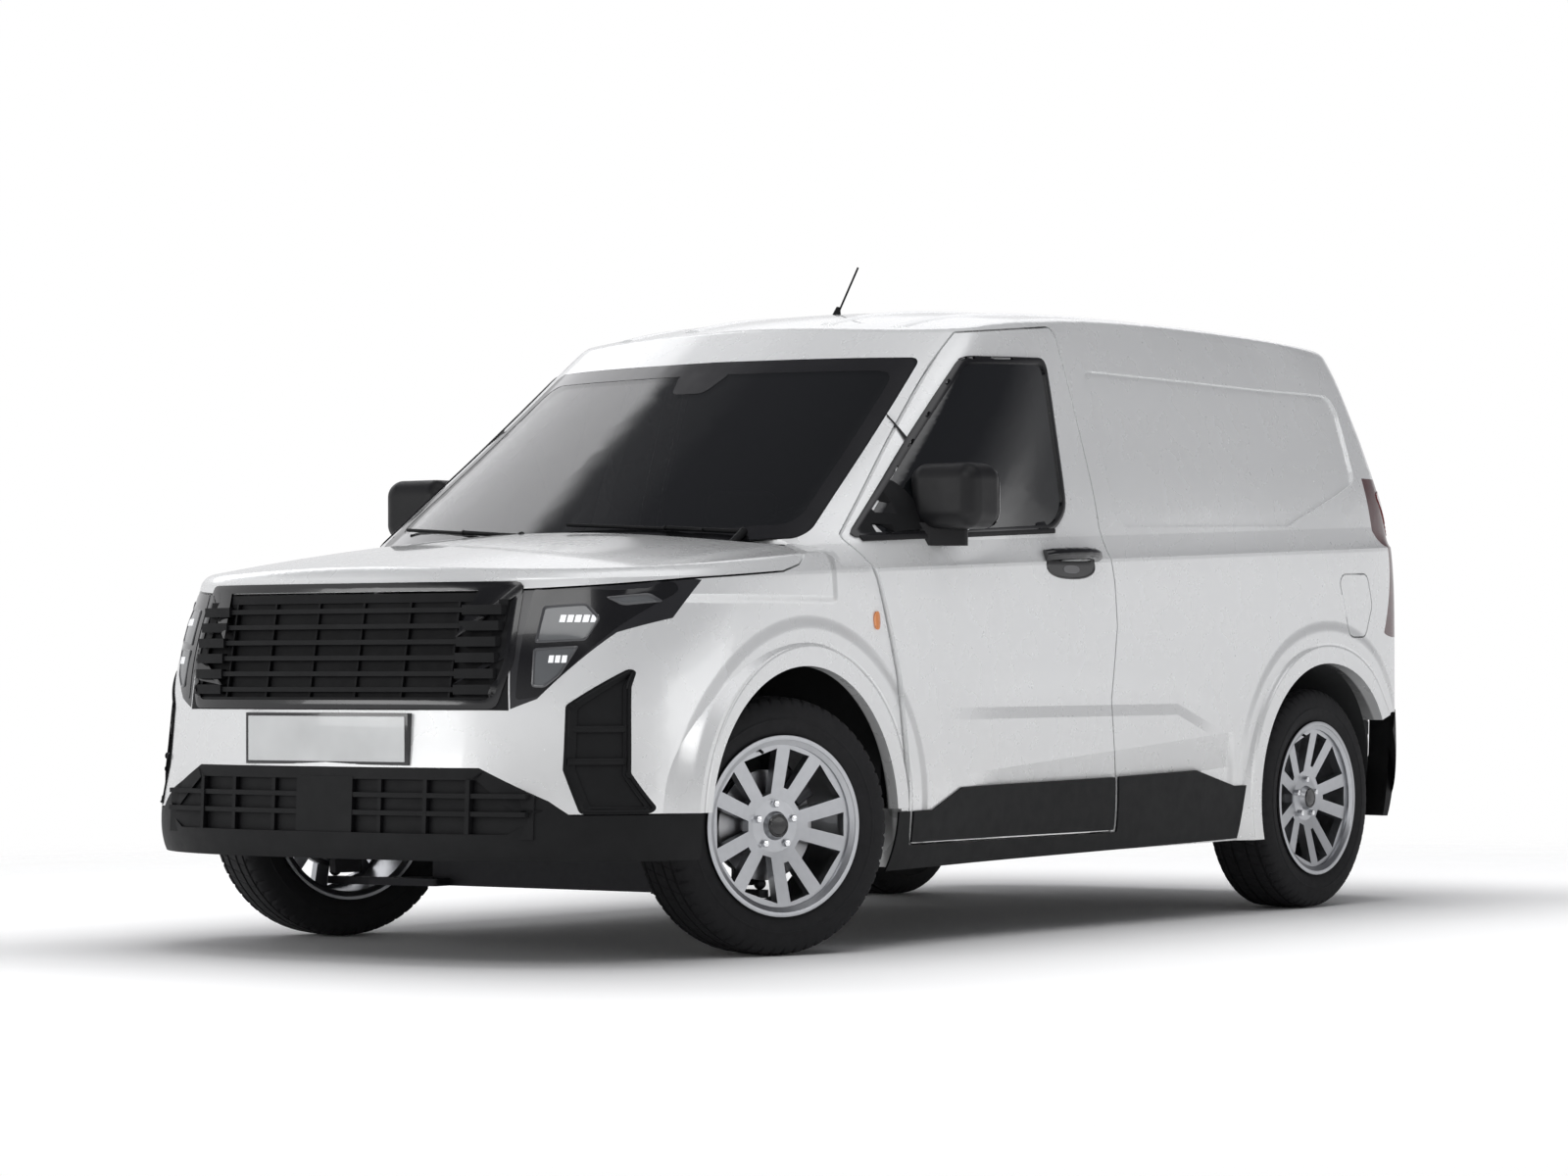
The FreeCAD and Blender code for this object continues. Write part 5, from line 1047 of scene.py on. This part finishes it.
def make_side(sign):
    """Window frame, waist seal, sail, handles and repeater of one flank."""
    mark = "left" if sign > 0 else "right"
    names = ["door_" + mark, "door_glass_" + mark, "body_side_" + mark, "wing_" + mark]
    project = from_side(surface_of(*names, *(["sliding_door"] if sign < 0 else [])), sign)
    door = "door_" + mark
    outer = resampled(rounded_outline(grown(SIDE_WINDOW, 0.005), 0.035), 200)
    inner = resampled(rounded_outline(grown(SIDE_WINDOW, -0.012), 0.030), 200)
    frame_shape = strip_between(project, outer, inner, 6, -0.0010, 0.0062, 0.0010)
    add_piece("window_frame_" + mark, *frame_shape, GLOSS, door)
    sill = line_strip(project, straight_path(WAIST, 0.03), 0.016, 0.001, 0.004, 0.002)
    add_piece("waist_seal_" + mark, *sill, SEAL, door, 40)
    sail = patch_shape(project, rounded_outline(SAIL, 0.012), 0.0012, 0.0040, 0.03)
    add_piece("sail_" + mark, *sail, TRIM, door)
    add_handle(project, HANDLE_AT, "", "_" + mark, door)
    if sign < 0:
        add_handle(project, SLIDE_HANDLE_AT, "", "_slide", "body")
    lamp = patch_shape(project, ellipse(REPEATER_AT, *REPEATER_HALF, 24, 2.0),
                       0.0005, 0.002, 0.006, repeater_crown)
    add_piece("repeater_" + mark, *lamp, AMBER, "body", 60, "lamp")


def mirror_pieces(sign):
    """Glass and rim of one mirror."""
    mark = "left" if sign > 0 else "right"
    low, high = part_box("mirror_" + mark)
    inner_x, outer_x = (low.x, high.x) if sign > 0 else (high.x, low.x)
    house_in = inner_x + sign * MIRROR_ARM
    centre = ((house_in + outer_x) / 2, (low.z + high.z) / 2 + MIRROR_LIFT)
    half_u = abs(outer_x - house_in) / 2 - MIRROR_MARGIN
    half_v = (high.z - low.z) / 2 - MIRROR_MARGIN - MIRROR_LIFT
    behind = from_rear("mirror_" + mark)
    edge = ellipse(centre, half_u, half_v, 40, 3.5)
    glass = patch_shape(behind, edge, SKIN_LIFT, 0.0012)
    add_piece("mirror_glass_" + mark, *glass, MIRROR_FACE, "door_" + mark)
    rim = strip_between(behind, ellipse(centre, half_u + 0.007, half_v + 0.007, 40, 3.5), edge,
                        2, 0.0002, 0.0020, 0.0015)
    add_piece("mirror_rim_" + mark, *rim, GLOSS, "door_" + mark)


for flank in (1, -1):
    make_side(flank)


# Windscreen edge, roof ribs and rear doors

SCREEN = ((0.7326, 1.0764), (0.6323, 1.5895), (0.0, 1.5967), (-0.6323, 1.5895), (-0.7326, 1.0764),
          (-0.3552, 1.0585), (0.3552, 1.0585))
SENSOR_PATCH = ((-0.09, 1.560), (0.09, 1.560), (0.055, 1.500), (-0.055, 1.500))
on_screen = from_front("windscreen")
screen_out = resampled(rounded_outline(grown(SCREEN, -0.003), 0.030), 260)
screen_in = resampled(rounded_outline(grown(SCREEN, -0.040), 0.045), 260)
add_piece("screen_frit", *strip_between(on_screen, screen_out, screen_in, 4, 0.0002, 0.0006), FRIT)
sensor = patch_shape(on_screen, rounded_outline(SENSOR_PATCH, 0.02), SKIN_LIFT, 0.0008, 0.03)
add_piece("screen_sensor_patch", *sensor, FRIT)
for flank in (1, -1):
    mirror_pieces(flank)

on_roof = from_top("roof_panel")
RIB_XS = (-0.48, -0.24, 0.24, 0.48)
RIB_Y = (-0.30, 1.72)
RIB_STEPS = 40
RIB_WIDTH = 0.055
RIB_RISE = 0.0045
ribs = []
for x in RIB_XS:
    rib = [Vector((x, RIB_Y[0] + (RIB_Y[1] - RIB_Y[0]) * k / RIB_STEPS)) for k in range(RIB_STEPS + 1)]
    ribs.append(line_strip(on_roof, rib, RIB_WIDTH, -0.0008, 0.0010, RIB_RISE, 8))
add_piece("roof_ribs", *merged(*ribs), PAINT, "body", 20, "body_paint")

on_rear = from_rear(*both("rear_door", "body_side"), "tail_lamps")
on_tail = from_rear("tail_lamps")
on_rear_bumper = from_rear("rear_bumper")
HINGE_LEVELS = (0.62, 1.02, 1.46)
HINGE_LEAF = ((0.600, -0.018), (0.716, -0.026), (0.716, 0.026), (0.600, 0.018))
FIELD_INNER_X = {"left": -0.040, "right": 0.205}
FIELD_RISE = 0.006
FIELD_FLANK = 0.035
REAR_PLATE = ((0.02, 0.690), (0.56, 0.690), (0.56, 0.810), (0.02, 0.810))
BRAKE_BAR = ((-0.16, 1.640), (0.16, 1.640), (0.16, 1.662), (-0.16, 1.662))
REFLECTOR = ((0.54, 0.372), (0.70, 0.378), (0.70, 0.404), (0.54, 0.398))
TAIL_BLOCKS = (("stop", 0.62, 0.93, RED_LENS), ("turn", 0.36, 0.58, AMBER), ("reverse", 0.10, 0.32, LENS))
TAIL_X = 0.800
TAIL_HALF = 0.038
FLUTE_RISE = 0.002
FLUTE_PITCH = 260


def edge_distance(point, outline):
    """Distance from a flat point to an outline's nearest side."""
    nearest = FAR_OFF
    for a, b in zip(outline, outline[1:] + outline[:1]):
        along_side = b - a
        share = max(0.0, min(1.0, (point - a).dot(along_side) / along_side.length_squared))
        nearest = min(nearest, (point - a - along_side * share).length)
    return nearest


def sided(points, sign):
    return [(sign * x, z) for x, z in points]


for sign, mark in ((1, "left"), (-1, "right")):
    inner_x = FIELD_INNER_X[mark]
    corners = sided(((inner_x, 1.560), (0.560, 1.540), (0.600, 1.130), (inner_x, 1.130)), sign)
    outline = rounded_outline(corners, 0.05, 6)

    def field_rise(point, outline=outline):
        share = min(1.0, edge_distance(point, outline) / FIELD_FLANK)
        return FIELD_RISE * share * share * (3 - 2 * share)

    field = patch_shape(on_rear, outline, -0.001, 0.0011, 0.02, field_rise)
    add_piece("rear_field_" + mark, *field, PAINT, "rear_door_" + mark, 60, "body_paint")
for sign, mark in ((1, "left"), (-1, "right")):
    leaves = []
    for level in HINGE_LEVELS:
        leaf = sided([(x, level + z) for x, z in HINGE_LEAF], sign)
        leaves.append(patch_shape(on_rear, rounded_outline(leaf, 0.012), SKIN_LIFT, 0.0045, 0.03))
    add_piece("rear_hinges_" + mark, *merged(*leaves), TRIM, "rear_door_" + mark)
add_handle(on_rear, REAR_HANDLE_AT, "rear_", "", "rear_door_left")
rear_holder = patch_shape(on_rear, rounded_outline(grown(REAR_PLATE, 0.014), 0.012), 0.0004, 0.004, 0.04)
add_piece("rear_plate_holder", *rear_holder, GLOSS, "rear_door_left")
rear_plate = patch_shape(on_rear, REAR_PLATE, 0.005, 0.0012, 0.04)
add_piece("rear_plate_blank", *rear_plate, PLATE, "rear_door_left")

tail_low, tail_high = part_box("tail_lamps")
for label, share_low, share_high, material in TAIL_BLOCKS:
    z_low = tail_low.z + (tail_high.z - tail_low.z) * share_low
    z_high = tail_low.z + (tail_high.z - tail_low.z) * share_high
    lenses = []
    for sign in (1, -1):
        block_loop = ellipse((sign * TAIL_X, (z_low + z_high) / 2), TAIL_HALF, (z_high - z_low) / 2, 36, 4)
        lenses.append(patch_shape(on_tail, block_loop, SKIN_LIFT, 0.0015, 0.012,
                                  lambda p: FLUTE_RISE * math.sin(p.y * FLUTE_PITCH) ** 2))
    add_piece("tail_" + label, *merged(*lenses), material, "body", 40, "tail_lamp")
high_lamp = patch_shape(from_rear("roof_panel"), BRAKE_BAR, 0.0004, 0.0030, 0.03)
add_piece("high_brake_lamp", *high_lamp, RED_LENS, slot="tail_lamp")
reflectors = [patch_shape(on_rear_bumper, rounded_outline(sided(REFLECTOR, sign), 0.008), SKIN_LIFT, 0.002)
              for sign in (1, -1)]
add_piece("rear_reflectors", *merged(*reflectors), RED_LENS, slot="tail_lamp")

# Seats: padded cushions, backs and headrests

SEAT_PAD_CAP = 0.020
PAD_VOXEL = 0.014
PAD_BEVEL = 0.030
CLOTH_FRAMES = 20
SEAT_XS = {"driver": 0.3732, "passenger": -0.3732}
CUSHION_TOP_Z = 0.700
SEAT_DEPTH = 0.500
PAD_HALF = 0.228
HEAD_HALF = 0.120
BACK_HALF_THICK = 0.050
HEAD_HALF_THICK = 0.040
BACK_TURN = math.radians(-14)
PIVOT_FROM_END = 0.035
PIVOT_BELOW_TOP = 0.064
CUSHION_ENDS = (0.020, 0.070)
CUSHION_LEVELS = (0.110, 0.010)
BACK_LEVELS = (0.060, 0.490)
HEAD_LEVELS = (0.530, 0.640)
BASE_HALF = 0.16
BASE_Y = (0.06, 0.43)
BASE_Z = (0.372, 0.600)


def applied(piece):
    """Modifiers of a piece worked into its mesh."""
    graph = bpy.context.evaluated_depsgraph_get()
    graph.update()
    mesh = bpy.data.meshes.new_from_object(piece.evaluated_get(graph))
    piece.modifiers.clear()
    piece.data = mesh


def padded_piece(name, low, high, turn, pivot):
    """Cushion swollen by cloth pressure out of a rounded block, its travel capped."""
    piece, _ = plain_object(name, *box_shape(low, high, PAD_BEVEL))
    remesh = piece.modifiers.new("remesh", "REMESH")
    remesh.mode = "VOXEL"
    remesh.voxel_size = PAD_VOXEL
    applied(piece)
    rest = [vert.co.copy() for vert in piece.data.vertices]
    cloth = piece.modifiers.new("cloth", "CLOTH")
    cloth.settings.use_pressure = True
    cloth.settings.uniform_pressure_force = 4
    cloth.settings.effector_weights.gravity = 0
    cloth.point_cache.frame_end = CLOTH_FRAMES
    for frame_number in range(1, CLOTH_FRAMES + 1):
        bpy.context.scene.frame_set(frame_number)
    applied(piece)
    for vert, start in zip(piece.data.vertices, rest):
        travel = vert.co - start
        if travel.length > SEAT_PAD_CAP:
            vert.co = start + travel.normalized() * SEAT_PAD_CAP
    lean = Matrix.Translation(pivot) @ Matrix.Rotation(turn, 4, "X") @ Matrix.Translation(-pivot)
    piece.data.transform(lean)
    piece.data.materials.append(CLOTH)
    piece.data.shade_smooth()
    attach(piece, "body")
    return piece


seat_low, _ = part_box("seats")
front = seat_low.y
for mark, x in SEAT_XS.items():
    pivot = Vector((x, front + SEAT_DEPTH - PIVOT_FROM_END, CUSHION_TOP_Z - PIVOT_BELOW_TOP))
    cushion = padded_piece(
        "seat_cushion_" + mark, (x - PAD_HALF, front + CUSHION_ENDS[0], CUSHION_TOP_Z - CUSHION_LEVELS[0]),
        (x + PAD_HALF, front + SEAT_DEPTH - CUSHION_ENDS[1], CUSHION_TOP_Z - CUSHION_LEVELS[1]),
        0.0, pivot)
    for label, half, thick, levels, fill in (("seat_back_", PAD_HALF, BACK_HALF_THICK, BACK_LEVELS, 0.6),
                                             ("headrest_", HEAD_HALF, HEAD_HALF_THICK, HEAD_LEVELS, 0.5)):
        padded_piece(label + mark, (x - half, pivot.y - thick, pivot.z + levels[0]),
                     (x + half, pivot.y + thick, pivot.z + levels[1]), BACK_TURN, pivot)
    if mark == "driver":
        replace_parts(cushion, "seats")
    base = box_shape((x - BASE_HALF, front + BASE_Y[0], BASE_Z[0]),
                     (x + BASE_HALF, front + BASE_Y[1], BASE_Z[1]), 0.01)
    add_piece("seat_base_" + mark, *base, CABIN, slot="cabin")


# Camera, lights and floor

CAMERA_PLACE = Vector((7.7633, -10.8912, 0.7578))
CAMERA_TURN_DEG = 35.944
CAMERA_PITCH_DEG = -0.894
CAMERA_ROLL_DEG = -0.183
FOCAL_PX = 4700.1
FRAME_WIDTH_PX = 1600
SENSOR_MM = 36.0
CLIP_END = 200


def aim_camera():
    """Camera at the photograph's place, from its turn about the van, pitch and roll."""
    turn, pitch, roll = [math.radians(a) for a in (CAMERA_TURN_DEG, CAMERA_PITCH_DEG, CAMERA_ROLL_DEG)]
    back = Vector((math.sin(turn) * math.cos(pitch), -math.cos(turn) * math.cos(pitch), math.sin(pitch)))
    right = (-back).cross(Vector((0, 0, 1))).normalized()
    top = right.cross(-back)
    side = right * math.cos(roll) + top * math.sin(roll)
    upward = top * math.cos(roll) - right * math.sin(roll)
    data = bpy.data.cameras.new("camera")
    data.lens = FOCAL_PX / FRAME_WIDTH_PX * SENSOR_MM
    data.sensor_width = SENSOR_MM
    data.clip_end = CLIP_END
    camera = in_scene("camera", data)
    axes = Matrix((side, upward, back)).transposed()
    camera.matrix_world = Matrix.Translation(CAMERA_PLACE) @ axes.to_4x4()
    bpy.context.scene.camera = camera


LIGHTS = (
    ("key", (3.0, -7.0, 6.5), (0, -0.8, 0.6), 5.0, 3.0, 140),
    ("fill", (8.0, 0.5, 1.6), (0.8, 0.2, 0.7), 5.0, 1.6, 26),
    ("front", (-3.0, -8.0, 2.0), (0, -2.0, 0.6), 4.0, 1.4, 62),
    ("top", (0.0, 0.0, 6.5), (0, 0, 1.0), 4.0, 6.0, 170, False),
)


def area_light(name, place, target, size_x, size_y, power, mirrored=True):
    """Soft rectangular lamp; one that isn't mirrored leaves no reflection."""
    data = bpy.data.lights.new(name, "AREA")
    data.shape = "RECTANGLE"
    data.size, data.size_y = size_x, size_y
    data.energy = power
    lamp = in_scene(name, data)
    lamp.location = place
    lamp.visible_glossy = mirrored
    lamp.rotation_euler = (Vector(target) - Vector(place)).to_track_quat("-Z", "Y").to_euler()


# Painted light: the floor glows more the further it lies from the van's footprint, leaving a painted shadow
# under the van.
FLOOR_REACH = 16.0
PAINTED_FLOOR_LIGHT = 0.42
FOOTPRINT = (0.75, 2.0)
PAINTED_LIGHT_SPAN = (0.0, 1.5)
FLOOR_FADE = (7.0, 3.2)
SHADE_CENTRE_X = 0.3


def make_floor():
    """Pale floor with painted light: it glows more away from the van's footprint, which adds a painted shadow
    under the van to the cast one, and it fades out into the white background.
    """
    corners = [(x * FLOOR_REACH, y * FLOOR_REACH, 0) for x, y in ((-1, -1), (1, -1), (1, 1), (-1, 1))]
    floor, mesh = plain_object("floor", corners, [(0, 1, 2, 3)])
    material, graph = new_material("floor_white", (0.9, 0.9, 0.9), 0.75)
    x, y, _ = graph.axes()
    # Emission strength is painted light: none under the van, rising outside its footprint.
    beyond_x, beyond_y = [(abs(value) - half).at_least(0.0) for value, half in zip((x, y), FOOTPRINT)]
    graph.feed(Base_Color=graph.mixed(graph.noise(0.6), (0.88, 0.88, 0.88), (0.90, 0.90, 0.90)),
               Specular_IOR_Level=0.2, Emission_Color=(1.0, 1.0, 1.0),
               Emission_Strength=beyond_x.hypot(beyond_y).eased(*PAINTED_LIGHT_SPAN) * PAINTED_FLOOR_LIGHT,
               Alpha=(x - SHADE_CENTRE_X).hypot(y).mapped("SMOOTHSTEP",
                                                          (FLOOR_FADE[1], FLOOR_FADE[0], 1.0, 0.0)))
    mesh.materials.append(material)


SKY = ((0.0, (0.75, 0.75, 0.76)), (0.08, (0.84, 0.84, 0.85)), (0.22, (0.28, 0.28, 0.29)),
       (0.42, (0.09, 0.09, 0.10)), (0.80, (0.10, 0.10, 0.11)), (1.0, (0.24, 0.24, 0.25)))
PANELS = (
    ((-0.77, 0.37, 0.52), (0.966, 0.972), (1.6, 1.6, 1.63)),
    ((0.35, 0.0, 0.94), (0.90, 0.96), (1.10, 1.10, 1.12)),
    ((-0.46, 0.79, 0.42), (0.970, 0.985), (1.10, 1.10, 1.12)),
)
FAR_SIDE_DIP = 0.60


def make_world():
    """White to the camera; to the paint a bright horizon, a darker sky and three soft bright panels."""
    world = bpy.data.worlds.new("studio")
    bpy.context.scene.world = world
    world.use_nodes = True
    tree = world.node_tree
    graph = Graph(tree, tree.nodes["Background"])
    towards = graph.made("TexCoord", "Generated")
    split = tree.nodes.new("ShaderNodeSeparateXYZ")
    put(tree, split.inputs["Vector"], towards)
    across, upward = Value(tree, split.outputs["X"]), Value(tree, split.outputs["Z"])
    level = (upward - (across * -FAR_SIDE_DIP).at_least(0.0)).at_least(0.0)
    sky_ramp = tree.nodes.new("ShaderNodeValToRGB")
    stops = sky_ramp.color_ramp.elements
    stops.remove(stops[1])
    for place, color in SKY:
        stop = stops[0] if place == SKY[0][0] else stops.new(place)
        stop.position = place
        stop.color = (*color, 1)
    put(tree, sky_ramp.inputs["Fac"], level)
    sky = Value(tree, sky_ramp.outputs["Color"])
    for centre, edge, light in PANELS:
        near = tree.nodes.new("ShaderNodeVectorMath")
        near.operation = "DOT_PRODUCT"
        near.inputs[1].default_value = Vector(centre).normalized()
        put(tree, near.inputs[0], towards)
        sky = graph.mixed(Value(tree, near.outputs["Value"]).eased(*edge), sky, light)
    seen = graph.made("LightPath", "Is Camera Ray")
    graph.feed(Color=graph.mixed(seen, sky, (1.0, 1.0, 1.0)), Strength=1.0)


aim_camera()
make_floor()
make_world()
for light in LIGHTS:
    area_light(*light)
bpy.context.scene.view_settings.view_transform = "Standard"
